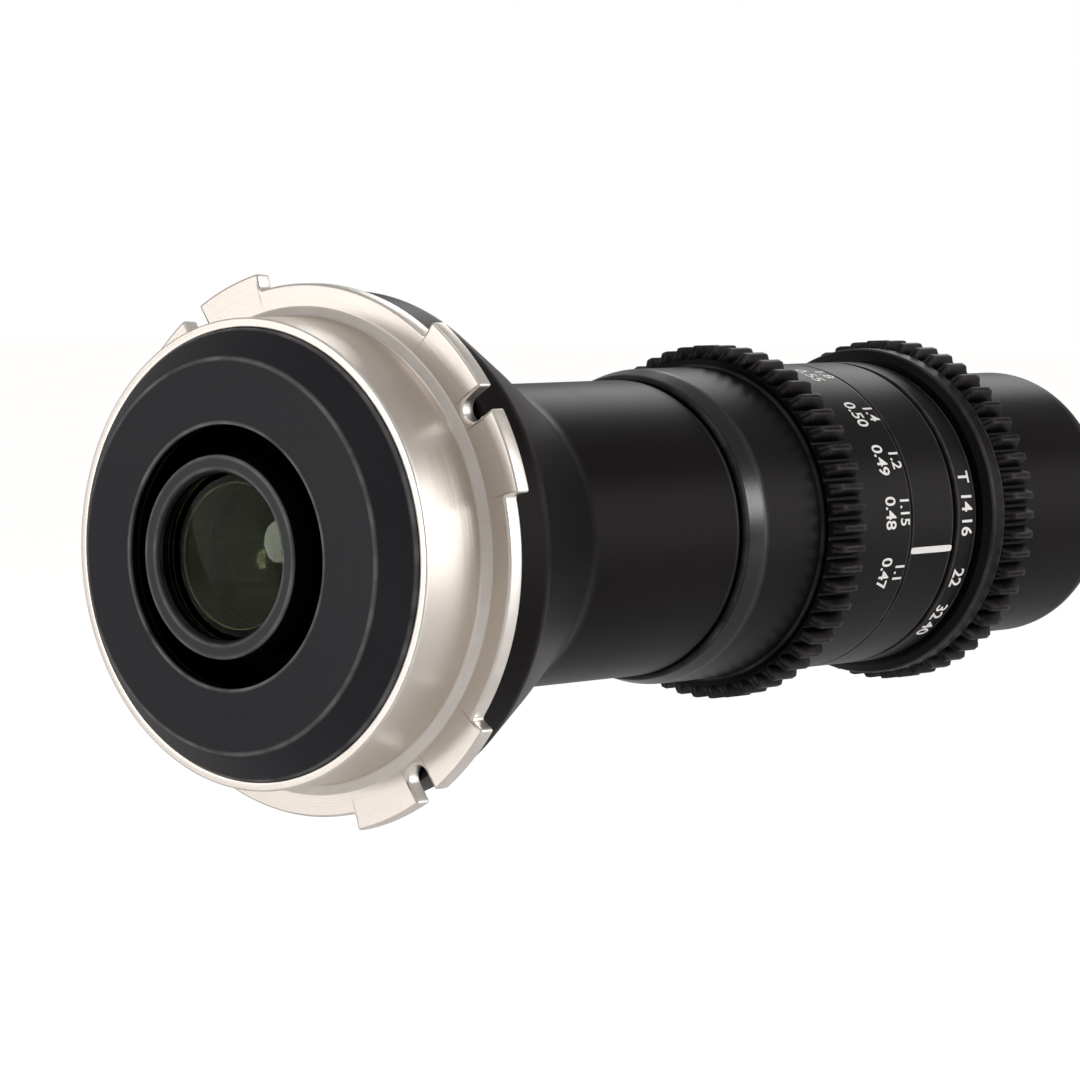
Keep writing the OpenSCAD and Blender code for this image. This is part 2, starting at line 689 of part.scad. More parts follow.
module guide_tube() color([0.7, 0.7, 0.72]) {
    difference() {
        turned([[guide_bore_r, guide_x], [barrel_bore_r - fit, guide_x],
                [barrel_bore_r - fit, guide_x + guide_flange_t], [guide_r, guide_x + guide_flange_t],
                [guide_r, retainer_end], [guide_bore_r, retainer_end]]);
        for (i = [0 : focus_pin_count - 1]) {
            clock = pin_clock(i);
            spoke(pin_slot_half, guide_bore_r - cut, guide_r + cut, focus_pin_x - far_travel, clock);
            spoke(pin_slot_half, guide_bore_r - cut, guide_r + cut, focus_pin_x + near_travel, clock);
            rotate([clock, 0, 0]) translate([focus_pin_x - far_travel, guide_bore_r - cut, -pin_slot_half])
                cube([near_travel + far_travel, guide_wall + 2 * cut, 2 * pin_slot_half]);
            spoke(key_r + fit, barrel_bore_r - guide_flange_t / 2, barrel_bore_r + cut,
                  guide_screw_x, guide_screw_clock(i));
        }
    }
}

function pin_clock(i) = index_clock + (i + 0.5) * full_turn / focus_pin_count;

module guide_screws() color([0.1, 0.1, 0.1]) {
    for (i = [0 : focus_pin_count - 1])
        spoke(key_r, barrel_bore_r - guide_flange_t / 2, barrel_r - edge,
              guide_screw_x, guide_screw_clock(i));
}

module sleeve_retainer() color([0.7, 0.7, 0.72]) {
    ring(guide_r + fit, barrel_bore_r - fit, retainer_x, retainer_end);
}

module thrust_washer_rear() color([0.05, 0.05, 0.05]) {
    ring(barrel_r + fit, barrel_r + washer_h, rear_barrel_end, focus_ring_x - air);
}

module thrust_washer_front() color([0.05, 0.05, 0.05]) {
    ring(barrel_r + fit, barrel_r + washer_h, collar_end, aperture_ring_x - air);
}

module gear_band(r_in, x0, width) {
    intersection() {
        along_x(x0) linear_extrude(width) difference() {
            polygon(gear_outline(root_r, tip_r));
            circle(r = r_in);
        }
        turned([[0, x0], [root_r, x0], [tip_r, x0 + tooth_slope], [tip_r, x0 + width - tooth_slope],
                [root_r, x0 + width], [0, x0 + width]]);
    }
}

module focus_ring() color([0.17, 0.17, 0.18]) {
    difference() {
        union() {
            turned([[ring_bore_r, focus_ring_x], [ring_r - band_drop, focus_ring_x],
                    [ring_r, focus_ring_x + band_len], [ring_r, focus_ring_end - edge],
                    [ring_r - edge, focus_ring_end], [ring_bore_r, focus_ring_end]]);
            gear_band(gear_seat_r, focus_gear_x, focus_gear_w);
        }
        spoke(key_r + fit, ring_bore_r - cut, ring_r + cut, focus_key_x, key_clock);
        spoke(key_head_r + fit, ring_r - key_head_t - edge, ring_r + cut, focus_key_x, key_clock);
    }
}

module focus_cam_sleeve() color([0.72, 0.6, 0.35]) {
    difference() {
        ring(cam_bore_r, cam_r, cam_x, cam_end);
        for (i = [0 : focus_pin_count - 1])
            along_x(helix_x)
                linear_extrude(helix_len, twist = -helix_len / focus_lead, slices = helix_steps, $fn = 12)
                    polygon(wedge(cam_bore_r - cut, cam_r + cut, helix_start(i) - helix_half_angle,
                                  helix_start(i) + helix_half_angle, wedge_steps));
        spoke(key_r + fit, cam_bore_r - cut, cam_r + cut, focus_key_x, key_clock);
    }
}

function helix_start(i) = pin_clock(i) + (helix_x - focus_pin_x) / focus_lead;

module focus_key_screw() color([0.1, 0.1, 0.1]) {
    difference() {
        union() {
            spoke(key_r, cam_bore_r + edge, ring_r - edge, focus_key_x, key_clock);
            spoke(key_head_r, ring_r - key_head_t - edge, ring_r - edge, focus_key_x, key_clock);
        }
        rotate([key_clock, 0, 0]) translate([focus_key_x, ring_r - key_head_t, 0])
            rotate([-90, 0, 0]) cylinder(r = key_r * 0.8, h = key_head_t, $fn = 6);
    }
}

module focus_carriage() color([0.3, 0.3, 0.31]) {
    difference() {
        turned([[carriage_bore_r, carriage_x], [carriage_r, carriage_x],
                [carriage_r, carriage_x + carriage_len],
                [carriage_bore_r, carriage_x + carriage_len], [carriage_bore_r, carriage_seat_end],
                [carriage_bore_r - lens_ring_w, carriage_seat_end],
                [carriage_bore_r - lens_ring_w, carriage_seat_x], [carriage_bore_r, carriage_seat_x]]);
        for (i = [0 : focus_pin_count - 1])
            spoke(focus_pin_r + fit, pin_root_r, carriage_r + cut, focus_pin_x, pin_clock(i));
    }
}

module focus_pins() color([0.75, 0.75, 0.76]) {
    for (i = [0 : focus_pin_count - 1])
        spoke(focus_pin_r, pin_root_r, pin_tip_r, focus_pin_x, pin_clock(i));
}

module focus_lens_rear() color([0.3, 0.36, 0.3, 0.6]) {
    rod(carriage_bore_r - fit, carriage_seat_x - focus_glass_t, carriage_seat_x);
}

module focus_lens_front() color([0.3, 0.36, 0.3, 0.6]) {
    rod(carriage_bore_r - fit, carriage_seat_end, carriage_seat_end + focus_glass_t);
}

module focus_lens_ring() color([0.12, 0.12, 0.12]) {
    ring(carriage_bore_r - lens_ring_w, carriage_bore_r - fit, carriage_seat_end + focus_glass_t,
         carriage_seat_end + focus_glass_t + lens_ring_t);
}

module index_collar() color([0.15, 0.15, 0.16]) {
    difference() {
        ring(barrel_r + fit, ring_r, collar_x, collar_end, edge / 2);
        spoke(grub_r + fit, barrel_r - cut, ring_r + cut, grub_collar_x, far_clock);
    }
}

module aperture_ring() color([0.15, 0.15, 0.16]) {
    chamfer = land_r - root_r + edge;
    difference() {
        union() {
            turned([[ring_bore_r, aperture_ring_x], [ring_r - edge / 2, aperture_ring_x],
                    [ring_r, aperture_ring_x + edge / 2], [ring_r, stop_groove_x - edge / 2],
                    [ring_r - edge / 2, stop_groove_x], [ring_r - stop_groove_depth, stop_groove_x],
                    [ring_r - stop_groove_depth, land_x], [land_r - chamfer, land_x],
                    [land_r, land_x + chamfer], [land_r, aperture_gear_x],
                    [ring_r, aperture_gear_x], [ring_r, aperture_ring_end],
                    [ring_bore_r, aperture_ring_end]]);
            gear_band(gear_seat_r, aperture_gear_x, aperture_gear_w);
        }
        spoke(key_r + fit, ring_bore_r - cut, tip_r + cut, screw_x, drive_screw_clock);
        spoke(key_head_r + fit, drive_head_r - key_head_t, tip_r + cut, screw_x, drive_screw_clock);
    }
}

module aperture_drive_screw() color([0.1, 0.1, 0.1]) {
    difference() {
        union() {
            spoke(key_r, cam_rim_bore_r + edge, drive_head_r, screw_x, drive_screw_clock);
            spoke(key_head_r, drive_head_r - key_head_t, drive_head_r, screw_x, drive_screw_clock);
        }
        rotate([drive_screw_clock, 0, 0]) translate([screw_x, drive_head_r - key_head_t + edge, 0])
            rotate([-90, 0, 0]) cylinder(r = key_r * 0.8, h = key_head_t, $fn = 6);
    }
}

module iris_base() color([0.2, 0.2, 0.2]) {
    skirt_r = barrel_bore_r - fit;
    difference() {
        turned([[skirt_r, retainer_end], [skirt_r, iris_x + iris_plate_t],
                [iris_hole_r, iris_x + iris_plate_t], [iris_hole_r, iris_x],
                [skirt_r - lens_ring_w, iris_x], [skirt_r - lens_ring_w, retainer_end]]);
        for (i = [0 : blade_count - 1])
            rotate([i * blade_step, 0, 0]) translate([0, pivot_ring_r, 0])
                rod(blade_pin_r + run, iris_x - cut, iris_x + iris_plate_t + cut);
    }
}

module blade_outline() {
    r_out = iris_open_r + blade_w;
    polygon(wedge(iris_open_r, r_out, band_from, 0, 18));
    translate([iris_open_r, -blade_arm_half]) square([pivot_ring_r - iris_open_r, 2 * blade_arm_half]);
    translate(pivot_at) circle(r = blade_pin_r + blade_arm_half / 2, $fn = 32);
    rotate(drive_clock) translate([r_out - blade_arm_half, -blade_arm_half])
        square([drive_ring_r - r_out + blade_arm_half, 2 * blade_arm_half]);
    translate(open_drive) circle(r = blade_pin_r + blade_arm_half / 2, $fn = 32);
}

module iris_blade(i) color([0.25, 0.26, 0.28]) {
    x = blade_x + i * blade_pitch;
    rotate([i * blade_step, 0, 0]) translate([0, pivot_at.x, 0]) rotate([blade_rest, 0, 0])
        translate([0, -pivot_at.x, 0]) {
            along_x(x) linear_extrude(blade_t) blade_outline();
            translate([0, pivot_at.x, 0]) rod(blade_pin_r, iris_x + edge, x + blade_t);
            translate([0, open_drive.x, open_drive.y]) rod(blade_pin_r, x, cam_ring_x + cam_ring_t - edge);
        }
}

module iris_blade_1() iris_blade(0);
module iris_blade_2() iris_blade(1);
module iris_blade_3() iris_blade(2);
module iris_blade_4() iris_blade(3);
module iris_blade_5() iris_blade(4);
module iris_blade_6() iris_blade(5);
module iris_blade_7() iris_blade(6);

module drive_slot_shape() {
    polygon(concat([for (i = [0 : slot_steps]) slot_side(i, 1)],
                   [for (i = [slot_steps : -1 : 0]) slot_side(i, -1)]));
}

module iris_cam_ring() color([0.6, 0.6, 0.62]) {
    difference() {
        turned([[cam_ring_bore_r, cam_ring_x], [cam_ring_r, cam_ring_x],
                [cam_ring_r, cam_rim_x + cam_rim_w], [cam_rim_bore_r, cam_rim_x + cam_rim_w],
                [cam_rim_bore_r, cam_ring_x + cam_ring_t], [cam_ring_bore_r, cam_ring_x + cam_ring_t]]);
        along_x(cam_ring_x - cut) linear_extrude(cam_ring_t + 2 * cut)
            for (i = [0 : blade_count - 1]) rotate(i * blade_step) drive_slot_shape();
        spoke(key_r + fit, cam_rim_bore_r - cut, cam_ring_r + cut, screw_x, drive_screw_clock);
    }
}

module iris_retainer() color([0.2, 0.2, 0.2]) {
    ring(cam_rim_bore_r - lens_ring_w, barrel_bore_r - fit,
         iris_retainer_x, iris_retainer_x + iris_retainer_t);
}

module front_barrel() color([0.14, 0.14, 0.15]) {
    difference() {
        turned([[front_bore_r, front_spigot_x], [front_spigot_r, front_spigot_x], [front_spigot_r, front_x],
                [keeper_r, front_x], [keeper_r, keeper_end], [front_r, keeper_end + edge],
                for (i = [0 : 6]) [front_r - shoulder_round * (1 - cos(i * 15)),
                                   shoulder_x - shoulder_round * (1 - sin(i * 15))],
                [nose_face_r + edge, nose_end - edge], [nose_face_r, nose_end],
                [nose_bore_r, nose_end], [nose_bore_r, seal_end], [seal_out_r, seal_end],
                [seal_out_r, seal_x], [nose_bore_r, seal_x],
                [nose_bore_r, nose_bore_x], [front_bore_r, nose_bore_x]]);
        rotate([far_clock, 0, 0])
            translate([socket_x - socket_half_h - fit, socket_in_r - fit, -socket_half_w - fit])
                cube([2 * (socket_half_h + fit), front_r, 2 * (socket_half_w + fit)]);
        wire_slot(nose_bore_r - cut, socket_in_r);
    }
}

module wire_slot(from_r, to_r) {
    rotate([far_clock, 0, 0]) translate([socket_x - wire_r - wire_gap, from_r, -wire_slot_half])
        cube([wire_r + wire_gap + wire_bend_r, to_r - from_r, 2 * wire_slot_half]);
}

module relay_cell() color([0.2, 0.2, 0.2]) {
    bore = relay_cell_r - relay_cell_wall;
    turned([[bore - lens_ring_w, relay_cell_x], [relay_cell_r, relay_cell_x],
            [relay_cell_r, relay_cell_x + relay_cell_len], [bore, relay_cell_x + relay_cell_len],
            [bore, relay_glass_x], [bore - lens_ring_w, relay_glass_x]]);
}

module relay_cell_lens() color([0.3, 0.36, 0.3, 0.6]) {
    rod(relay_cell_r - relay_cell_wall - fit, relay_glass_x, relay_glass_x + relay_glass_t);
}

module tube_lock_ring() color([0.7, 0.7, 0.72]) {
    ring(probe_r + fit, tube_flange_r, lock_ring_x, lock_ring_x + lock_ring_t);
}

module tube_seal() color([0.03, 0.03, 0.03]) {
    along_x(seal_x + seal_r) rotate_extrude()
        translate([nose_bore_r + seal_r, 0]) circle(r = seal_r, $fn = 32);
}

module probe_tube() color([0.13, 0.13, 0.14]) {
    difference() {
        turned([[probe_bore_r, tube_x], [tube_flange_r, tube_x], [tube_flange_r, tube_x + tube_flange_t],
                [probe_r, tube_x + tube_flange_t], [probe_r, head_x], [probe_bore_r, head_x]]);
        wire_slot(probe_bore_r - cut, probe_r + cut);
    }
}

module relay_tube() color([0.25, 0.25, 0.25]) {
    difference() {
        turned([[relay_bore_r, relay_x], [relay_flange_r, relay_x],
                [relay_flange_r, relay_x + relay_flange_t],
                [relay_r, relay_x + relay_flange_t], [relay_r, relay_end - relay_flange_t],
                [relay_flange_r, relay_end - relay_flange_t], [relay_flange_r, relay_end],
                [relay_bore_r - relay_stop, relay_end], [relay_bore_r - relay_stop, relay_end - relay_stop],
                [relay_bore_r, relay_end - relay_stop]]);
        rotate([far_clock, 0, 0]) translate([relay_x - cut, relay_r, -wire_slot_half])
            cube([relay_end - relay_x + 2 * cut, probe_r, 2 * wire_slot_half]);
    }
}

function relay_lens_x(i) = relay_end - relay_stop - relay_lens_t - (relay_lens_count - 1 - i) * relay_pitch;

module relay_lens(i) color([0.3, 0.36, 0.3, 0.6]) {
    rod(relay_glass_r, relay_lens_x(i), relay_lens_x(i) + relay_lens_t);
}

module relay_lens_1() relay_lens(0);
module relay_lens_2() relay_lens(1);
module relay_lens_3() relay_lens(2);

module relay_spacer(i) color([0.12, 0.12, 0.12]) {
    ring(relay_glass_r - relay_wall, relay_glass_r, relay_lens_x(i) + relay_lens_t, relay_lens_x(i + 1));
}

module relay_spacer_1() relay_spacer(0);
module relay_spacer_2() relay_spacer(1);

module relay_ring() color([0.12, 0.12, 0.12]) {
    ring(relay_glass_r - relay_wall, relay_glass_r, relay_lens_x(0) - lens_ring_t, relay_lens_x(0));
}

module light_head() color([0.13, 0.13, 0.14]) {
    difference() {
        turned([[head_spigot_bore_r, head_x - head_spigot_len],
                [probe_bore_r - fit, head_x - head_spigot_len],
                [probe_bore_r - fit, head_x], [probe_r, head_x], [probe_r, tip_x - edge * 2],
                [probe_r - edge * 2, tip_x], [head_bore_r, tip_x], [head_bore_r, board_x],
                [front_cell_r + fit, board_x], [front_cell_r + fit, head_shelf_x],
                [head_spigot_bore_r, head_shelf_x]]);
        rotate([far_clock, 0, 0])
            translate([head_x - head_spigot_len - cut, head_spigot_bore_r - cut, -wire_slot_half])
                cube([head_spigot_len + cut + board_x - head_x, probe_bore_r - head_spigot_bore_r + cut,
                      2 * wire_slot_half]);
    }
}

module led_board() color([0.1, 0.3, 0.16]) {
    ring(front_cell_r + fit * 2, head_bore_r - fit, board_x, board_x + board_t);
}

module leds() color([0.95, 0.93, 0.7]) {
    for (i = [0 : led_count - 1])
        rotate([i * full_turn / led_count, 0, 0])
            translate([board_x + board_t, led_ring_r - led_side / 2, -led_side / 2])
                cube([led_t, led_side, led_side]);
}

module light_window() color([0.9, 0.9, 0.9, 0.5]) {
    ring(front_cell_r + fit, head_bore_r - fit, window_x, window_x + window_t);
}

module front_lens_cell() color([0.16, 0.16, 0.17]) {
    turned([[front_cell_bore_r, front_cell_x], [front_cell_r, front_cell_x], [front_cell_r, tip_x],
            [front_lens_r + fit, tip_x], [front_lens_r + fit, front_lens_x],
            [front_lens_r - relay_stop, front_lens_x],
            [front_lens_r - relay_stop, front_lens_x - relay_stop],
            [front_cell_bore_r, front_lens_x - relay_stop]]);
}

module front_lens() color([0.3, 0.36, 0.3, 0.6]) {
    domed(front_lens_r, front_lens_r - edge, tip_x - front_lens_sink, front_lens_x, front_lens_bulge);
}

module led_wires() color([0.6, 0.1, 0.1]) {
    bend_x = socket_x + wire_bend_r;
    bend_y = wire_run_r + wire_bend_r;
    for (side = [-1, 1])
        rotate([far_clock, 0, 0]) translate([0, 0, side * wire_pair_gap / 2]) {
            translate([socket_x, bend_y, 0]) rotate([-90, 0, 0])
                cylinder(r = wire_r, h = socket_in_r - fit - bend_y, $fn = 32);
            translate([bend_x, bend_y, 0]) rotate([0, 0, half_turn]) rotate_extrude(angle = half_turn / 2)
                translate([wire_bend_r, 0]) circle(r = wire_r, $fn = 32);
            translate([0, wire_run_r, 0]) along_x(bend_x)
                cylinder(r = wire_r, h = board_x - bend_x, $fn = 32);
        }
}

module usb_socket() color([0.75, 0.75, 0.77]) {
    back = 3 * socket_shell;
    rotate([far_clock, 0, 0]) {
        difference() {
            translate([socket_x - socket_half_h, socket_in_r, -socket_half_w])
                cube([2 * socket_half_h, socket_depth, 2 * socket_half_w]);
            translate([socket_x - socket_h / 2, socket_in_r + back, -socket_w / 2])
                cube([socket_h, socket_depth, socket_w]);
        }
        translate([socket_x - socket_tongue_t / 2, socket_in_r + back - socket_shell, -socket_w / 3])
            cube([socket_tongue_t, socket_depth * 2 / 3, socket_w * 2 / 3]);
    }
}

bayonet_mount();
mount_shim();
mount_screws();
rear_baffle();
rear_lens_cell();
rear_lens();
rear_inner_lens();
rear_lens_ring();
rear_housing();
main_barrel();
grub_screws();
guide_tube();
guide_screws();
sleeve_retainer();
thrust_washer_rear();
thrust_washer_front();
focus_ring();
focus_cam_sleeve();
focus_key_screw();
focus_carriage();
focus_pins();
focus_lens_rear();
focus_lens_front();
focus_lens_ring();
index_collar();
aperture_ring();
aperture_drive_screw();
iris_base();
iris_cam_ring();
iris_blade_1();
iris_blade_2();
iris_blade_3();
iris_blade_4();
iris_blade_5();
iris_blade_6();
iris_blade_7();
iris_retainer();
front_barrel();
relay_cell();
relay_cell_lens();
tube_lock_ring();
tube_seal();
probe_tube();
relay_tube();
relay_lens_1();
relay_lens_2();
relay_lens_3();
relay_spacer_1();
relay_spacer_2();
relay_ring();
light_head();
led_board();
leds();
light_window();
front_lens_cell();
front_lens();
led_wires();
usb_socket();
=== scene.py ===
"""Looks of the macro probe lens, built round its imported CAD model.

Everything is in the frame of the CAD model: the optical axis is X, the camera mount's
flange is at X = 0 and its tube points to -X. A clock angle a of a point is the angle of
(Y, Z) round X. Sizes are in millimetres here and become metres in the mesh. A corner of a
section is (x, r, reach), with the distance that its rounding reaches.
"""

import logging
import math
from dataclasses import dataclass
from enum import Enum
from typing import Callable

import bmesh
import bpy
import numpy as np
from mathutils import Matrix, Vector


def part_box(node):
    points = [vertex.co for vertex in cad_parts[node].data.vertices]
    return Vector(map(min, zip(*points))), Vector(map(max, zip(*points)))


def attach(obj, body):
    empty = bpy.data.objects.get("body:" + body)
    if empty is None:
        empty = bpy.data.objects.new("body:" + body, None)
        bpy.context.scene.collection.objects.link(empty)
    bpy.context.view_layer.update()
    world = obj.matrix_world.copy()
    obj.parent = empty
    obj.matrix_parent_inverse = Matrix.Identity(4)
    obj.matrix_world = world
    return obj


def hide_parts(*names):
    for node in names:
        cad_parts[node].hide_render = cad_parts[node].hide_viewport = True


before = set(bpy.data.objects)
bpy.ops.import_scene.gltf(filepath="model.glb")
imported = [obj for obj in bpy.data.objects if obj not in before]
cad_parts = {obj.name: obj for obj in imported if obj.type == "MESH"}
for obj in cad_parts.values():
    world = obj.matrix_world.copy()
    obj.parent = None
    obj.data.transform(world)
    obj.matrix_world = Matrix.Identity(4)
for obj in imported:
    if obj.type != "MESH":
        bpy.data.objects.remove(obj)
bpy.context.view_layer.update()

LOG = logging.getLogger("probe_lens")
MM = 0.001
FULL_TURN = 360.0
# Clock angles of the index line, and of the screws and the light's socket
INDEX_CLOCK = 191.0
FAR_CLOCK = 11.0
# Degrees over which an edge stays sharp
SHARP_ANGLE = 32.0
# Reaches of a rounded edge, from a crisp one to a full one
CRISP = 0.1
FINE = 0.12
BROKEN = 0.15
EASED = 0.2
WORN = 0.22
SOFT = 0.25
ROUND = 0.3
FULL = 0.35
# Largest distance of a plain point from a curve and share of the free edge, and the least distance
SPARE = 0.3
LEAST_SPARE = 0.01
# Outer radius and bore of the focus ring, the index collar and the aperture ring
RING = 19.7
RING_BORE = 17.65
# Outer radius of the probe tube, and the place of its tip
TUBE = 10.0
TIP_X = 393.0
# Rings of a pocket's lip that are worn
WORN_RINGS = slice(1, 3)
# Columns round a turned piece, by its size
SMALL_COLUMNS = 192
COLUMNS = 256
LARGE_COLUMNS = 320


class Grain(Enum):
    """How a surface was worked; the value is the share of turned lines in its grain."""

    TURNED = 1.0
    BLASTED = 0.25
    MOULDED = 0.0


def linked(name: str, data: bpy.types.ID) -> bpy.types.Object:
    """A new object in the scene that shows a mesh, text, lamp or camera."""
    obj = bpy.data.objects.new(name, data)
    bpy.context.scene.collection.objects.link(obj)
    return obj


@dataclass
class Surface:
    """Points in millimetres, faces as arrays of indices, and the wear of each point."""

    points: np.ndarray
    faces: list
    wear: np.ndarray

    def piece(self, name: str) -> bpy.types.Object:
        """Makes the object of this surface, its faces pointing outward.

        Args:
            name: The piece's name.

        Returns:
            The new object, at the origin.
        """
        corners = np.concatenate([f.ravel() for f in self.faces]).astype(np.int32)
        counts = np.concatenate([np.full(len(f), f.shape[1]) for f in self.faces])
        starts = np.concatenate([[0], np.cumsum(counts)[:-1]]).astype(np.int32)
        mesh = bpy.data.meshes.new(name)
        mesh.vertices.add(len(self.points))
        mesh.vertices.foreach_set("co", (self.points * MM).astype(np.float32).ravel())
        mesh.loops.add(len(corners))
        mesh.loops.foreach_set("vertex_index", corners)
        mesh.polygons.add(len(counts))
        mesh.polygons.foreach_set("loop_start", starts)
        mesh.update(calc_edges=True)
        mesh.validate()
        wear = mesh.attributes.new("wear", "FLOAT", "POINT")
        wear.data.foreach_set("value", self.wear.astype(np.float32))
        made = bmesh.new()
        made.from_mesh(mesh)
        bmesh.ops.recalc_face_normals(made, faces=made.faces)
        made.to_mesh(mesh)
        made.free()
        mesh.shade_smooth()
        mesh.set_sharp_from_angle(angle=math.radians(SHARP_ANGLE))
        return linked(name, mesh)


def merged(parts: list) -> Surface:
    """Joins several surfaces.

    Args:
        parts: The surfaces.

    Returns:
        All of them as one.
    """
    shifts = np.cumsum([0] + [len(part.points) for part in parts])
    faces = [f + shift for part, shift in zip(parts, shifts) for f in part.faces]
    points = np.concatenate([part.points for part in parts])
    return Surface(points, faces, np.concatenate([part.wear for part in parts]))


def rounded(corners: tuple | np.ndarray, steps: int = 4) -> tuple:
    """Closed outline with a curve at each corner.

    The corner c between neighbours a and b, with reach d, becomes the curve
    p(t) = (1-t)^2 (c + d u) + 2 t (1-t) c + t^2 (c + d v) for t from 0 to 1, where u and v
    are the unit directions from c to a and to b. A plain point stands a little way off each
    end of the curve, so that the flat faces beside it stay flat in shading.

    Args:
        corners: (x, r, reach) of each corner, in order.
        steps: Faces along each curve.

    Returns:
        The points as an array of (x, r), and the wear of each: the root of the sine of the
        angle that an outward curve turns through, 1 for an acute corner, and 0 elsewhere.
    """
    spots, reach = np.array(corners)[:, :2], np.array(corners)[:, 2]
    after = np.roll(spots, -1, axis=0)
    side = np.sign(np.sum(spots[:, 0] * after[:, 1] - spots[:, 1] * after[:, 0]))
    t = np.linspace(0, 1, steps + 1)[:, None]
    points, wear = [], []
    for i, spot in enumerate(spots):
        if reach[i] == 0:
            points.append(spot[None])
            wear.append([0.0])
            continue
        ends, plain = [], []
        for step in (-1, 1):
            other = (i + step) % len(spots)
            run = spots[other] - spot
            spare = min(SPARE, SPARE * (np.hypot(*run) - reach[i] - reach[other]))
            ends.append(run / np.hypot(*run))
            plain.append((spot + (reach[i] + spare) * ends[-1])[None][: int(spare > LEAST_SPARE)])
        u, v = ends
        curve = (1 - t) ** 2 * (spot + reach[i] * u) + 2 * t * (1 - t) * spot + t**2 * (spot + reach[i] * v)
        turning = math.sqrt(max(side * (u[1] * v[0] - u[0] * v[1]), 0.0)) if u @ v < 0 else 1.0
        points += [plain[0], curve, plain[1]]
        wear += [np.zeros(len(plain[0])), np.full(len(curve), turning), np.zeros(len(plain[1]))]
    return np.concatenate(points), np.concatenate(wear)


def at(x: float, r: float, reach: float = 0.0) -> list:
    """A corner at x and radius r."""
    return [(x, r, reach)]


def out(r: float, reach: float = 0.0) -> list:
    """A corner at radius r, beside the one before."""
    return [(None, r, reach)]


def along(x: float, reach: float = 0.0, rows: tuple = ()) -> list:
    """A corner at x with the radius of the one before, and plain points at rows on the way."""
    return [*[(row, None, 0.0) for row in rows], (x, None, reach)]


def trace(**moves: list) -> tuple:
    """Corners of a section, each given by what changes from the one before.

    Args:
        moves: The corners that each named step of the section adds.

    Returns:
        Every corner as (x, r, reach).
    """
    corners = []
    for x, r, reach in [corner for move in moves.values() for corner in move]:
        x, r = (corners[-1][0] if x is None else x), (corners[-1][1] if r is None else r)
        corners.append((x, r, reach))
    return tuple(corners)


def radial(x: np.ndarray, height: np.ndarray, across: np.ndarray, clock: float) -> np.ndarray:
    """Points in a frame turned to a clock angle.

    Args:
        x: Places along the axis.
        height: Heights out from the axis at the clock angle.
        across: Places across it.
        clock: The clock angle.

    Returns:
        The points.
    """
    a = math.radians(clock)
    y, z = height * math.cos(a) - across * math.sin(a), height * math.sin(a) + across * math.cos(a)
    return np.stack(np.broadcast_arrays(x, y, z), -1)


def round_axis(x: np.ndarray, r: np.ndarray, a: np.ndarray) -> np.ndarray:
    """Points at x along the axis, r out from it and a radians round it."""
    return np.stack(np.broadcast_arrays(x, r * np.cos(a), r * np.sin(a)), -1)


def even_angles(count: int) -> np.ndarray:
    """Angles in degrees, evenly round the full turn."""
    return np.arange(count) * FULL_TURN / count


def rounded_square(count: int, power: float) -> tuple:
    """Outline (cos t, sin t) / (|cos t|^p + |sin t|^p)^(1/p) of a rounded unit square.

    Args:
        count: Points of the outline.
        power: The power p, 2 for a circle and more for a square.

    Returns:
        The arrays of the two coordinates.
    """
    t = np.radians(even_angles(count))
    size = (np.abs(np.cos(t)) ** power + np.abs(np.sin(t)) ** power) ** (1 / power)
    return np.cos(t) / size, np.sin(t) / size


def strip_faces(rows: int, columns: int, closed_rows: bool) -> np.ndarray:
    """Quads of a grid whose columns close.

    Args:
        rows: Rows of the grid.
        columns: Points in a row.
        closed_rows: Whether the last row joins the first.

    Returns:
        The indices of each quad's points, (rows, columns, 4).
    """
    i = np.arange(rows if closed_rows else rows - 1)[:, None]
    j = np.arange(columns)[None]
    here, below, right = i * columns, (i + 1) % rows * columns, (j + 1) % columns
    return np.stack(np.broadcast_arrays(here + j, here + right, below + right, below + j), -1)


def closed_stack(rings: np.ndarray) -> Surface:
    """Closes a stack of rings at both ends by a point at their middle.

    Args:
        rings: The points, (rings, columns, 3).

    Returns:
        The closed surface, without wear.
    """
    rows, columns = rings.shape[:2]
    points = np.concatenate([rings.reshape(-1, 3), [rings[0].mean(0), rings[-1].mean(0)]])
    around = np.arange(columns)
    ahead = np.roll(around, -1)
    first = np.stack([ahead, around, np.full(columns, rows * columns)], -1)
    last = (rows - 1) * columns
    final = np.stack([last + around, last + ahead, np.full(columns, rows * columns + 1)], -1)
    sides = strip_faces(rows, columns, False).reshape(-1, 4)
    return Surface(points, [sides, first, final], np.zeros(len(points)))


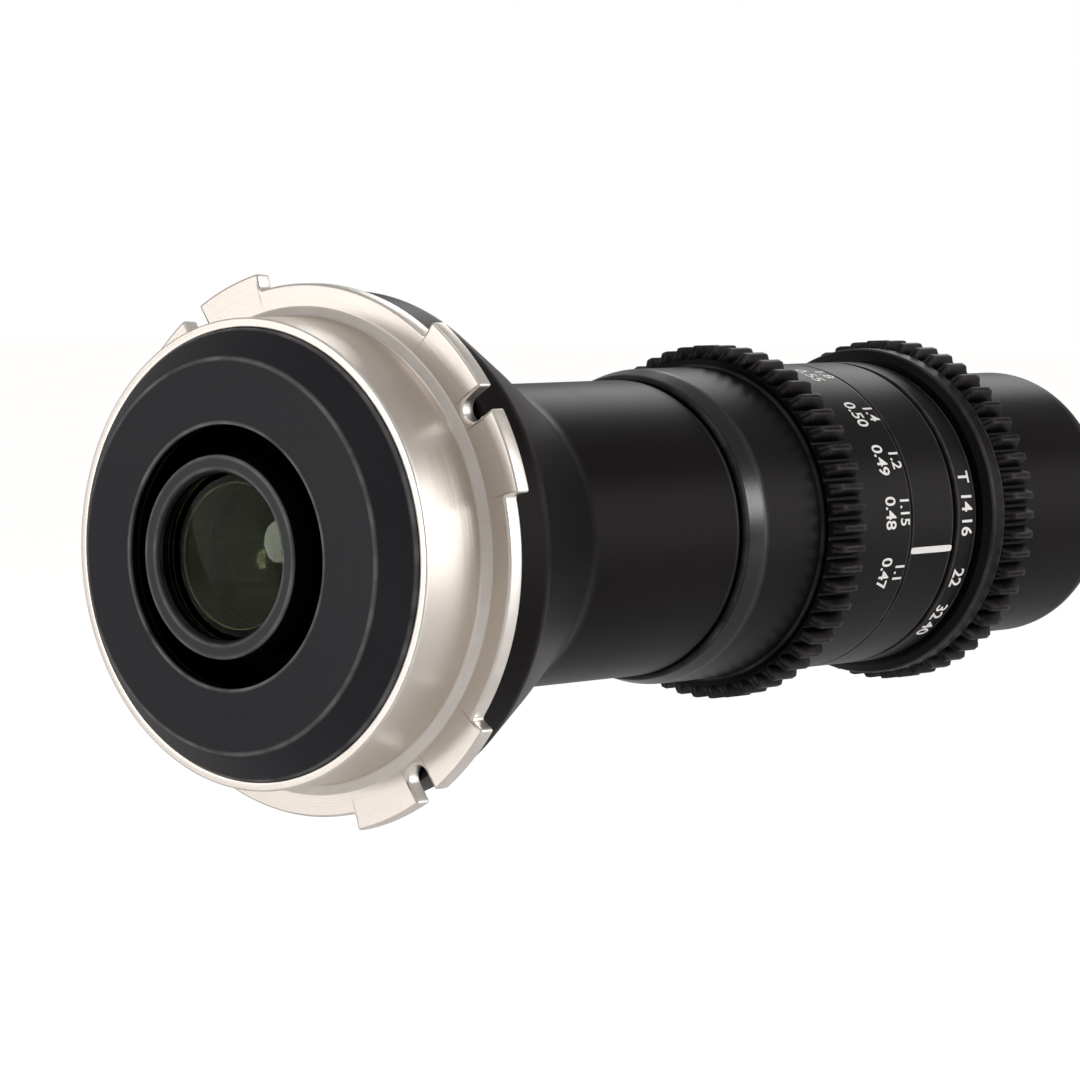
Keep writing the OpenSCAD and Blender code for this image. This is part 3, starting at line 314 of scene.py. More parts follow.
@dataclass(frozen=True)
class Pocket:
    """A flat-bottomed pocket in a turned surface, at the far clock angle.

    half is its half size along and across the axis, floor the distance of its floor from
    the axis, rows the places of the grid's rows round its middle, and power 2 for a round
    pocket and more for a rectangle with rounded corners. lips are the rings of its edge as
    (share of its size, depth), floors the rings of its wall and floor as shares of its size.
    same is how near to its radius a row must be to be cut, room_share and side_share the
    shares of its half size that the cut may reach along and across, and side_room a length
    more across.
    """

    x: float
    radius: float
    half: tuple
    floor: float
    rows: tuple = (-1.6, -1.2, 0.0, 1.2, 1.6)
    power: float = 2.0
    lips: tuple = ((1.1, 0.0), (1.03, 0.03), (1.0, 0.12))
    floors: tuple = (1.0, 0.96, 0.5)
    same: float = 0.02
    room_share: float = 1.7
    side_share: float = 1.25
    side_room: float = 0.3

    def places(self) -> list:
        """Places of the section's plain points round the pocket."""
        return [self.x + row for row in self.rows]

    def rings(self, u: np.ndarray, v: np.ndarray) -> np.ndarray:
        """Rings of points from the lip to the middle of the floor.

        Args:
            u: Places along the axis of the points round the pocket.
            v: Their places across it.

        Returns:
            The points, ring by ring, and last the one at the middle.
        """
        size = np.abs(u / self.half[0]) ** self.power + np.abs(v / self.half[1]) ** self.power
        u, v = np.stack([u, v]) / size ** (1 / self.power)
        rings = []
        for grow, drop in self.lips:
            height = np.sqrt(self.radius**2 - (v * grow) ** 2) - drop
            rings.append(radial(self.x + u * grow, height, v * grow, FAR_CLOCK))
        rings += [radial(self.x + u * grow, self.floor, v * grow, FAR_CLOCK) for grow in self.floors]
        rings.append(radial(np.array([self.x]), self.floor, 0.0, FAR_CLOCK))
        return np.concatenate(rings)


@dataclass
class Turned:
    """A turned ring as a grid: P(i, j) = (x_i, r_i cos a_j, r_i sin a_j), closed both ways.

    corners are those of its section, clocks the angles a_j and steps the faces of a curve.
    """

    corners: tuple
    clocks: np.ndarray
    steps: int = 4

    def __post_init__(self) -> None:
        """Lays out the grid."""
        self.outline, wear = rounded(self.corners, self.steps)
        shape = (len(wear), len(self.clocks))
        self.x, self.r, self.wear = (
            np.broadcast_to(row[:, None], shape).copy() for row in (*self.outline.T, wear)
        )
        self.kept = np.ones(shape, bool)
        self.holes = []

    def cut(self, pocket: Pocket) -> None:
        """Cuts a pocket into the outside.

        A rectangle of faces goes, and each of its border points (u, v) is joined to the
        point (u, v) / (|u/h|^p + |v/w|^p)^(1/p) of the pocket's edge, then to its wall,
        floor and centre, where (h, w) is its half size and p its power.

        Args:
            pocket: The pocket.
        """
        across = np.radians((self.clocks - FAR_CLOCK + FULL_TURN / 2) % FULL_TURN - FULL_TURN / 2)
        across *= pocket.radius
        x, r = self.outline.T
        near = np.abs(x - pocket.x) < pocket.half[0] * pocket.room_share
        rows = np.flatnonzero((np.abs(r - pocket.radius) < pocket.same) & near)
        columns = np.flatnonzero(np.abs(across) < pocket.half[1] * pocket.side_share + pocket.side_room)
        i0, i1, j0, j1 = rows[0], rows[-1], columns[0], columns[-1]
        self.kept[i0:i1, j0:j1] = False
        wide = len(self.clocks)
        border = np.concatenate([
            i0 * wide + np.arange(j0, j1),
            np.arange(i0, i1) * wide + j1,
            i1 * wide + np.arange(j1, j0, -1),
            np.arange(i1, i0, -1) * wide + j0,
        ])
        self.holes.append((border, pocket.rings(self.x.ravel()[border] - pocket.x, across[border % wide])))

    def surface(self) -> Surface:
        """The grid and its pockets as one surface."""
        grid = round_axis(self.x, self.r, np.radians(self.clocks)).reshape(-1, 3)
        whole = Surface(grid, [strip_faces(*self.x.shape, True)[self.kept]], self.wear.ravel())
        for border, points in self.holes:
            count, start = len(border), len(whole.points)
            ring = start + np.arange(len(points) - 1).reshape(-1, count)
            table = np.concatenate([border[None], ring])
            ahead = np.roll(table, -1, axis=1)
            walls = np.stack([table[:-1], ahead[:-1], ahead[1:], table[1:]], -1).reshape(-1, 4)
            fan = np.stack([table[-1], ahead[-1], np.full(count, start + len(points) - 1)], -1)
            edge = np.zeros(len(points))
            edge[:-1].reshape(-1, count)[WORN_RINGS] = 1.0
            whole.points = np.concatenate([whole.points, points])
            whole.faces += [walls, fan]
            whole.wear = np.concatenate([whole.wear, edge])
        return whole


def lathe(corners: tuple, columns: int = COLUMNS, steps: int = 4) -> Turned:
    """A turned ring with even columns from the corners of its section."""
    return Turned(corners, INDEX_CLOCK + even_angles(columns), steps)


@dataclass(frozen=True)
class Lens:
    """A lens with one domed face.

    The dome is x(r) = rim + s b (1 - (r / c)^2) with bulge b, cap radius c and s the side
    that it points to; the other face is flat, and the edge is cylindrical. rim and flat are
    the places of the dome's rim and of the flat face.
    """

    radius: float
    cap: float
    rim: float
    flat: float
    bulge: float
    bevel: float = 0.12
    middle_share: float = 0.04
    back_share: float = 0.7
    dome_rows: int = 20
    columns: int = 160

    def surface(self) -> Surface:
        """The lens as a closed surface."""
        radius, cap, rim, flat = self.radius, self.cap, self.rim, self.flat
        side = math.copysign(1.0, rim - flat)
        middle, bevel = cap * self.middle_share, side * self.bevel
        r = np.linspace(middle, cap, self.dome_rows)
        dome = np.stack([rim + side * self.bulge * (1 - (r / cap) ** 2), r], -1)
        line = np.concatenate([dome, [
            (rim, radius - self.bevel), (rim - bevel, radius), (flat + bevel, radius),
            (flat, radius - self.bevel), (flat, cap * self.back_share), (flat, middle),
        ]])
        return closed_stack(round_axis(line[:, :1], line[:, 1:], np.radians(even_angles(self.columns))))


@dataclass(frozen=True)
class Teeth:
    """A 0.8 mm module gear band: half angles and columns in degrees, lengths in millimetres.

    tip_half and root_half are half the angle of a tooth at its tip and root, slope is the
    length of a tooth's sloped end, seat the least radius of a row that carries teeth,
    columns the grid's columns round a tooth and ramp its rows over a sloped end. The wear
    fades over edge_width and end_width beside a tooth's edges.
    """

    start: float
    width: float
    count: int = 54
    root: float = 20.6
    tip: float = 22.4
    tip_half: float = 0.922
    root_half: float = 2.679
    slope: float = 1.2
    seat: float = 20.3
    columns: tuple = (-3.0, -2.6, -2.1, -1.15, -0.95, -0.8, 0.0, 0.8, 0.95, 1.15, 2.1, 2.6, 3.0)
    ramp: tuple = (0.0, 0.2, 0.45, 0.7, 0.95, 1.15, 1.3)
    inset: float = 0.8
    edge_width: float = 0.3
    end_width: float = 0.25
    worn_height: float = 0.6
    middle_rows: int = 4
    curve_steps: int = 3

    def ring(self, corners: tuple) -> Turned:
        """A turned ring with teeth on the rows of its gear band.

        Inside the band r(x, a) = min(tooth(a), end(x)), where tooth falls from tip to root
        between the half angles, and end rises from root to tip over the sloped ends. The
        columns stand close together at each tooth's edges.

        Args:
            corners: Corners of the ring's section.

        Returns:
            The ring.
        """
        clocks = (even_angles(self.count)[:, None] + self.columns).ravel()
        clocks = np.sort((clocks - INDEX_CLOCK) % FULL_TURN) + INDEX_CLOCK
        ring = Turned(corners, clocks, self.curve_steps)
        pitch = FULL_TURN / self.count
        off = np.abs((ring.clocks + pitch / 2) % pitch - pitch / 2)
        fall = np.clip((off - self.tip_half) / (self.root_half - self.tip_half), 0, 1)
        tooth = self.tip - (self.tip - self.root) * fall
        x, r = ring.outline.T
        inside = np.minimum(x - self.start, self.start + self.width - x)
        rows = (inside > -LEAST_SPARE) & (r > self.seat)
        end = self.root + (self.tip - self.root) * np.clip(inside[rows] / self.slope, 0, 1)
        height = np.minimum(tooth[None], end[:, None])
        ring.r[rows] = height
        near_edge = np.exp(-(((off - self.tip_half) / self.edge_width) ** 2))[None]
        near_end = np.exp(-(((inside[rows] - self.slope) / self.end_width) ** 2))[:, None]
        worn = np.maximum(near_edge, near_end * (fall < 0.5))
        ring.wear[rows] = worn * (height > self.root + self.worn_height)
        return ring

    def band(self) -> list:
        """Corners of the gear band's rows, from its start to its end.

        Returns:
            The corners, as (x, r, reach).
        """
        ramp, inset = np.array(self.ramp), self.slope + self.inset
        middle = np.linspace(inset, self.width - inset, self.middle_rows)
        rows = np.concatenate([ramp, middle, self.width - ramp[::-1]])
        return [(self.start + x, self.root, 0.0) for x in rows]


@dataclass(frozen=True)
class Graph:
    """A node tree, and short ways to add to it."""

    tree: bpy.types.NodeTree

    def add(self, kind: str) -> bpy.types.Node:
        """A new shader node of a kind."""
        return self.tree.nodes.new("ShaderNode" + kind)

    def feed(self, slots: object, values: dict) -> None:
        """Links or sets some inputs.

        Args:
            slots: The inputs of a node.
            values: The socket, number or colour for each input, by its name or number.
        """
        for name, value in values.items():
            if isinstance(value, bpy.types.NodeSocket):
                self.tree.links.new(value, slots[name])
            else:
                slots[name].default_value = value

    def math(self, kind: str, *values: object) -> bpy.types.NodeSocket:
        """A math node.

        Args:
            kind: What it works out.
            values: The sockets or numbers it works on.

        Returns:
            The output socket.
        """
        node = self.add("Math")
        node.operation = kind
        self.feed(node.inputs, dict(enumerate(values)))
        return node.outputs[0]

    def noise(self, vector: bpy.types.NodeSocket, scale: float, detail: float) -> bpy.types.NodeSocket:
        """A noise texture.

        Args:
            vector: Socket of the place.
            scale: Waves per metre.
            detail: Levels of finer noise.

        Returns:
            The socket of its factor.
        """
        node = self.add("TexNoise")
        self.feed(node.inputs, {"Vector": vector, "Scale": scale, "Detail": detail})
        return node.outputs["Fac"]

    def use(self, group: bpy.types.NodeTree, values: dict) -> bpy.types.NodeSocket:
        """A node of a shared group.

        Args:
            group: The group.
            values: The socket or number for each input, by its name.

        Returns:
            The output socket.
        """
        node = self.add("Group")
        node.node_tree = group
        self.feed(node.inputs, values)
        return node.outputs[0]

    def tinted(self, mask: bpy.types.NodeSocket, strength: float, under: object, over: tuple) -> object:
        """A colour mixed towards another where a mask is high.

        Args:
            mask: Socket of the mask.
            strength: The largest share of the second colour.
            under: Colour or socket below.
            over: Colour above.

        Returns:
            The colour socket.
        """
        node = self.add("Mix")
        node.data_type = "RGBA"
        self.feed(node.inputs, {"Factor": self.math("MULTIPLY", mask, strength), 6: under, 7: over})
        return node.outputs[2]


@dataclass
class Effects:
    """The shader node groups that every finish shares.

    Each noise is (waves per metre, levels of finer noise), and for the dust also the level
    that it starts at and its gain. The lines' waves are scaled already, patch_gain is a
    factor and a shift, and sweep is the lines' waves per metre across the axis.
    """

    lines: tuple = (1.0, 3.0)
    sweep: float = 25.0
    speckle: tuple = (7000.0, 2.0)
    patches: tuple = (300.0, 4.0)
    patch_gain: tuple = (1.6, -0.25)
    specks: tuple = (2600.0, 1.0, 0.66, 6.0)
    clouds: tuple = (90.0, 4.0, 0.45, 0.9)

    def __post_init__(self) -> None:
        """Builds the groups."""
        self.grain = self._grain()
        self.edges = self._edges()
        self.dust = self._dust()

    @staticmethod
    def _group(name: str, inputs: dict, output: str) -> tuple:
        """A new group with one float output.

        Args:
            name: The group's name.
            inputs: The default of each float input, and None for a vector.
            output: Name of the output.

        Returns:
            The group's graph, the sockets of its inputs and those of its output node.
        """
        tree = bpy.data.node_groups.new(name, "ShaderNodeTree")
        for label, default in inputs.items():
            kind = "NodeSocketVector" if default is None else "NodeSocketFloat"
            socket = tree.interface.new_socket(label, in_out="INPUT", socket_type=kind)
            if default is not None:
                socket.default_value = default
        tree.interface.new_socket(output, in_out="OUTPUT", socket_type="NodeSocketFloat")
        come, go = tree.nodes.new("NodeGroupInput"), tree.nodes.new("NodeGroupOutput")
        return Graph(tree), come.outputs, go.inputs

    def _grain(self) -> bpy.types.NodeTree:
        """Fine lines round the axis, mixed with an even speckle."""
        graph, come, go = self._group("tool_grain", {"Vector": None, "Lines": 1.0, "Pitch": 9.0}, "Height")
        parts = graph.add("SeparateXYZ")
        graph.feed(parts.inputs, {0: come["Vector"]})
        x, y, z = parts.outputs
        squares = [graph.math("POWER", side, 2.0) for side in (y, z)]
        radius = graph.math("SQRT", graph.math("ADD", *squares))
        stretch = graph.add("CombineXYZ")
        pitch = graph.math("DIVIDE", come["Pitch"], MM)
        lengthwise, outward = (graph.math("MULTIPLY", side, pitch) for side in (x, radius))
        sweep = graph.math("MULTIPLY", y, self.sweep)
        graph.feed(stretch.inputs, {0: lengthwise, 1: outward, 2: sweep})
        lines = graph.noise(stretch.outputs[0], *self.lines)
        speckle = graph.noise(come["Vector"], *self.speckle)
        blend = graph.add("Mix")
        graph.feed(blend.inputs, {"Factor": come["Lines"], 2: speckle, 3: lines})
        graph.feed(go, {0: blend.outputs[0]})
        return graph.tree

    def _edges(self) -> bpy.types.NodeTree:
        """Where a finish has rubbed off outward edges, and where the mount's bevel takes a painted highlight.
        """
        graph, come, go = self._group("rubbed_edges", {"Vector": None, "Edge": 0.0}, "Mask")
        patches = graph.noise(come["Vector"], *self.patches)
        strong = graph.math("MULTIPLY_ADD", patches, *self.patch_gain)
        mask = graph.math("MULTIPLY", strong, come["Edge"])
        graph.feed(go, {0: graph.math("MINIMUM", graph.math("MAXIMUM", mask, 0.0), 1.0)})
        return graph.tree

    def _dust(self) -> bpy.types.NodeTree:
        """Sparse soft specks and faint hand marks."""
        graph, come, go = self._group("dust", {"Vector": None}, "Mask")
        masks = []
        for scale, detail, level, gain in (self.specks, self.clouds):
            above = graph.math("SUBTRACT", graph.noise(come["Vector"], scale, detail), level)
            masks.append(graph.math("MAXIMUM", graph.math("MULTIPLY", above, gain), 0.0))
        graph.feed(go, {0: graph.math("MINIMUM", graph.math("ADD", *masks), 1.0)})
        return graph.tree


@dataclass(frozen=True)
class Finish:
    """Numbers of one surface finish.

    Colours are linear. pitch is the turned lines' waves per millimetre, depth that of the
    grain in millimetres, and uneven its change of roughness. rub and dust are the largest
    shares of the rubbed colour and of the dust.
    """

    name: str
    color: tuple
    metallic: float = 0.0
    roughness: float = 0.4
    specular: float = 0.5
    grain: Grain = Grain.TURNED
    pitch: float = 9.0
    depth: float = 0.006
    uneven: float = 0.1
    rubbed: tuple = (0.2, 0.2, 0.2)
    rub: float = 0.3
    dust: float = 0.1
    dust_color: tuple = (0.35, 0.34, 0.33)
    dust_roughness: float = 0.6
    coat: float = 0.0
    transmission: float = 0.0
    ior: float = 1.5
    tint: tuple = (1.0, 1.0, 1.0)

    def build(self, effects: Effects) -> bpy.types.Material:
        """Builds the material.

        Args:
            effects: The shared node groups.

        Returns:
            The material.
        """
        material = bpy.data.materials.new(self.name)
        material.use_nodes = True
        graph = Graph(material.node_tree)
        shader = graph.tree.nodes["Principled BSDF"].inputs
        color = (*self.color, 1.0)
        graph.feed(shader, {
            "Metallic": self.metallic, "Specular IOR Level": self.specular, "Coat Weight": self.coat,
            "Transmission Weight": self.transmission, "IOR": self.ior, "Specular Tint": (*self.tint, 1.0),
            "Roughness": self.roughness, "Base Color": color,
        })
        place = graph.add("TexCoord").outputs["Object"]
        edge = graph.add("Attribute")
        edge.attribute_name = "wear"
        grain = graph.use(effects.grain, {"Vector": place, "Lines": self.grain.value, "Pitch": self.pitch})
        dusty = graph.use(effects.dust, {"Vector": place})
        if self.transmission == 0:
            rubbed = graph.use(effects.edges, {"Vector": place, "Edge": edge.outputs["Fac"]})
            bare = graph.tinted(rubbed, self.rub, color, (*self.rubbed, 1.0))
            graph.feed(shader, {"Base Color": graph.tinted(dusty, self.dust, bare, (*self.dust_color, 1.0))})
        centred = graph.math("SUBTRACT", grain, 0.5)
        rough = graph.math("MULTIPLY_ADD", centred, self.uneven, self.roughness)
        bump = graph.add("Bump")
        graph.feed(bump.inputs, {"Distance": self.depth * MM, "Height": grain})
        graph.feed(shader, {
            "Roughness": graph.math("MULTIPLY_ADD", dusty, self.dust * self.dust_roughness, rough),
            "Normal": bump.outputs[0],
        })
        return material


METAL = {"metallic": 1.0}
MOULDED = {"grain": Grain.MOULDED}
CLEAR = {"roughness": 0.0, "transmission": 1.0, "depth": 0.0, "uneven": 0.0, "rub": 0.0, "dust": 0.0}
FINISHES = (
    Finish("black_anodised", (0.0026, 0.0021, 0.0021), roughness=0.33, specular=0.07,
           rubbed=(0.06, 0.053, 0.053), rub=0.35, dust=0.008, tint=(1.0, 0.87, 0.82)),
    Finish("satin_black", (0.0038, 0.0034, 0.0036), roughness=0.35, specular=0.09, pitch=6.0,
           rubbed=(0.13, 0.12, 0.12), rub=0.5, dust=0.01, tint=(1.0, 0.9, 0.86)),
    Finish("gear_black", (0.0022, 0.002, 0.0022), roughness=0.34, specular=0.06, pitch=6.0,
           rubbed=(0.22, 0.2, 0.19), dust=0.004),
    Finish("tube_black", (0.011, 0.0105, 0.0105), specular=0.3, rubbed=(0.2, 0.19, 0.19), dust=0.03),
    Finish("polished_band", (0.005, 0.004, 0.0038), roughness=0.27, specular=0.42,
           rubbed=(0.06, 0.055, 0.055), dust=0.01),
    Finish("matte_black", (0.0115, 0.011, 0.0155), roughness=0.5, specular=0.26, pitch=6.0,
           rubbed=(0.3, 0.29, 0.29), rub=0.8, dust=0.03),
    # Darkest black: the real finish of the parts inside the lens, and painted shade where it darkens the
    # baffle's hole faces and the rear cell's wall.
    Finish("inner_black", (0.0015, 0.0015, 0.0015), roughness=0.8, specular=0.05, dust=0.01),
    Finish("bright_rim", (0.02, 0.02, 0.0225), specular=0.3, rubbed=(0.35, 0.34, 0.34), rub=0.5),
    Finish("bronze_ring", (0.2, 0.135, 0.07), metallic=0.6, roughness=0.3, pitch=3.0,
           rubbed=(0.8, 0.74, 0.6), rub=0.9),
    Finish("satin_mount_metal", (0.76, 0.7, 0.64), roughness=0.34, pitch=5.0, depth=0.014, uneven=0.2,
           rubbed=(0.97, 0.94, 0.9), rub=0.85, dust=0.13, **METAL),
    Finish("bare_aluminium", (0.6, 0.6, 0.61), roughness=0.35, **METAL),
    Finish("shim_brass", (0.72, 0.52, 0.24), roughness=0.3, **METAL),
    Finish("sleeve_brass", (0.66, 0.47, 0.22), roughness=0.35, **METAL),
    Finish("screw_steel", (0.5, 0.5, 0.51), roughness=0.3, **METAL),
    Finish("black_screw_steel", (0.05, 0.05, 0.052), metallic=0.8, roughness=0.35),
    Finish("blade_steel", (0.09, 0.09, 0.095), metallic=0.8, roughness=0.45),
    Finish("socket_steel", (0.56, 0.56, 0.58), roughness=0.25, grain=Grain.BLASTED, **METAL),
    Finish("black_plastic", (0.02, 0.02, 0.02), roughness=0.45, depth=0.01, **MOULDED),
    Finish("seal_rubber", (0.015, 0.015, 0.015), roughness=0.7, depth=0.01, **MOULDED),
    Finish("board_plastic", (0.02, 0.12, 0.05), **MOULDED),
    Finish("led_plastic", (0.85, 0.83, 0.76), **MOULDED),
    Finish("phosphor", (0.85, 0.66, 0.12), roughness=0.35, coat=0.5, **MOULDED),
    Finish("wire_plastic", (0.35, 0.02, 0.02), **MOULDED),
    Finish("ink", (0.82, 0.81, 0.79), roughness=0.55, specular=0.3, depth=0.008, dust=0.15, **MOULDED),
    Finish("window_plastic", (0.9, 0.92, 0.92), roughness=0.28, transmission=1.0, grain=Grain.BLASTED),
    Finish("optical_glass", (0.5, 0.55, 0.4), ior=1.52, tint=(0.09, 0.11, 0.06), **CLEAR),
    Finish("inner_glass", (0.4, 0.45, 0.28), ior=1.6, tint=(0.12, 0.1, 0.07), **CLEAR),
)


class Workshop:
    """Builds every finish once, finishes pieces and ties them to the CAD model."""

    def __init__(self) -> None:
        """Builds the shared effects and every material."""
        effects = Effects()
        self.materials = {finish.name: finish.build(effects) for finish in FINISHES}

    def dress(self, obj: bpy.types.Object, finish: str) -> None:
        """Gives a piece one finish."""
        obj.data.materials.clear()
        obj.data.materials.append(self.materials[finish])

    def place(self, shape: Surface | Turned | Lens, name: str, finish: str, *nodes: str,
              body: str = "lens_body", slot: str = "black_anodised") -> bpy.types.Object:
        """Makes and dresses a new piece, lets it ride a body and stand for CAD nodes.

        Args:
            shape: Its surface, or the ring or lens that makes it.
            name: The piece's name.
            finish: Name of its finish.
            nodes: CAD nodes that it replaces.
            body: The CAD body it moves with.
            slot: Not used.

        Returns:
            The piece.
        """
        obj = (shape if isinstance(shape, Surface) else shape.surface()).piece(name)
        self.dress(obj, finish)
        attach(obj, body)
        if nodes:
            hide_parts(*nodes)
        LOG.info("built %s: %d faces", name, len(obj.data.polygons))
        return obj

    def second_finish(self, obj: bpy.types.Object, finish: str, inside: Callable) -> None:
        """Gives some of a piece's faces one more finish.

        Args:
            obj: The piece.
            finish: Name of the other finish.
            inside: Says of arrays of x and radius, in millimetres, which faces take it.
        """
        faces = obj.data.polygons
        obj.data.materials.append(self.materials[finish])
        centres = np.zeros(len(faces) * 3)
        faces.foreach_get("center", centres)
        x, y, z = centres.reshape(-1, 3).T / MM
        index = np.zeros(len(faces), np.int32)
        faces.foreach_get("material_index", index)
        index[inside(x, np.hypot(y, z))] = len(obj.data.materials) - 1
        faces.foreach_set("material_index", index)

    def keep(self, **nodes: str) -> None:
        """Dresses CAD nodes that stay as they are.

        Args:
            nodes: For the name of each finish the nodes that take it, with spaces between.
        """
        for finish, names in nodes.items():
            for name in names.split():
                self.dress(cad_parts[name], finish)
                LOG.info("dressed %s", name)


@dataclass(frozen=True)
class Scale:
    """A row of printed numbers: its place along the axis, their height, and each text and clock."""

    x: float
    height: float
    marks: tuple


@dataclass
class Printing:
    """Numbers and lines printed on a turned surface.

    sink and thick are how far the print goes into the surface and stands out of it, weight
    is what its strokes gain on each side, narrow the share of the figures' width that
    stays, and capital the height of a figure as a share of the font's size.
    """

    radius: float
    sink: float = 0.03
    thick: float = 0.03
    weight: float = 0.045
    narrow: float = 0.84
    capital: float = 0.73
    curve_steps: int = 6
    weld: float = 1e-4
    long_share: float = 0.3
    cuts: int = 2
    bar_columns: int = 48
    bar_power: float = 10.0
    bar_core: float = 0.3

    def number(self, text: str, clock: float, x: float, height: float) -> Surface:
        """One number, its tops towards the probe's tip, wrapped round the axis.

        A point (u, v, w) of the flat number goes to x + v along the axis and to the clock
        angle a + n u / r at radius r + w, where n makes the figures narrower.

        Args:
            text: What is printed.
            clock: Clock angle of its middle.
            x: Place of its middle along the axis.
            height: Height of its figures.

        Returns:
            The closed surface.
        """
        curve = bpy.data.curves.new("number", "FONT")
        curve.body = text
        curve.size = height / self.capital
        curve.align_x = "CENTER"
        curve.extrude = (self.sink + self.thick) / 2
        curve.offset = self.weight
        curve.resolution_u = self.curve_steps
        flat = linked("number", curve)
        made = bmesh.new()
        made.from_mesh(flat.to_mesh())
        bmesh.ops.remove_doubles(made, verts=made.verts, dist=self.weld)
        bmesh.ops.triangulate(made, faces=made.faces)
        long_edges = [e for e in made.edges if e.calc_length() > height * self.long_share]
        bmesh.ops.subdivide_edges(made, edges=long_edges, cuts=self.cuts)
        bmesh.ops.triangulate(made, faces=made.faces)
        made.verts.index_update()
        u, v, w = np.array([point.co for point in made.verts]).T
        faces = np.array([[point.index for point in f.verts] for f in made.faces])
        made.free()
        flat.to_mesh_clear()
        bpy.data.objects.remove(flat)
        bpy.data.curves.remove(curve)
        a = math.radians(clock) + u * self.narrow / self.radius
        r = self.radius + w + (self.thick - self.sink) / 2
        return Surface(round_axis(x + v - height / 2, r, a), [faces], np.zeros(len(u)))

    def numbers(self, *scales: Scale) -> Surface:
        """Every number of some scales."""
        return merged([self.number(*mark, scale.x, scale.height) for scale in scales for mark in scale.marks])

    def bar(self, clock: float, x: tuple, width: float) -> Surface:
        """One printed bar: rings round its rounded outline, sunk, flush and raised.

        Args:
            clock: Clock angle of its middle.
            x: Its two ends along the axis.
            width: Its width.

        Returns:
            The closed surface.
        """
        u, v = rounded_square(self.bar_columns, self.bar_power)
        scale = np.array([self.bar_core, 1.0, 1.0, self.bar_core])[:, None] / 2
        place = (x[1] + x[0]) / 2 + u * (x[1] - x[0]) * scale
        r = self.radius + np.array([-self.sink, -self.sink, self.thick, self.thick])[:, None]
        return closed_stack(round_axis(place, r, math.radians(clock) + v * width * scale / self.radius))


@dataclass
class SubAssembly:
    """A part of the lens that builds and dresses its pieces in a workshop."""

    shop: Workshop


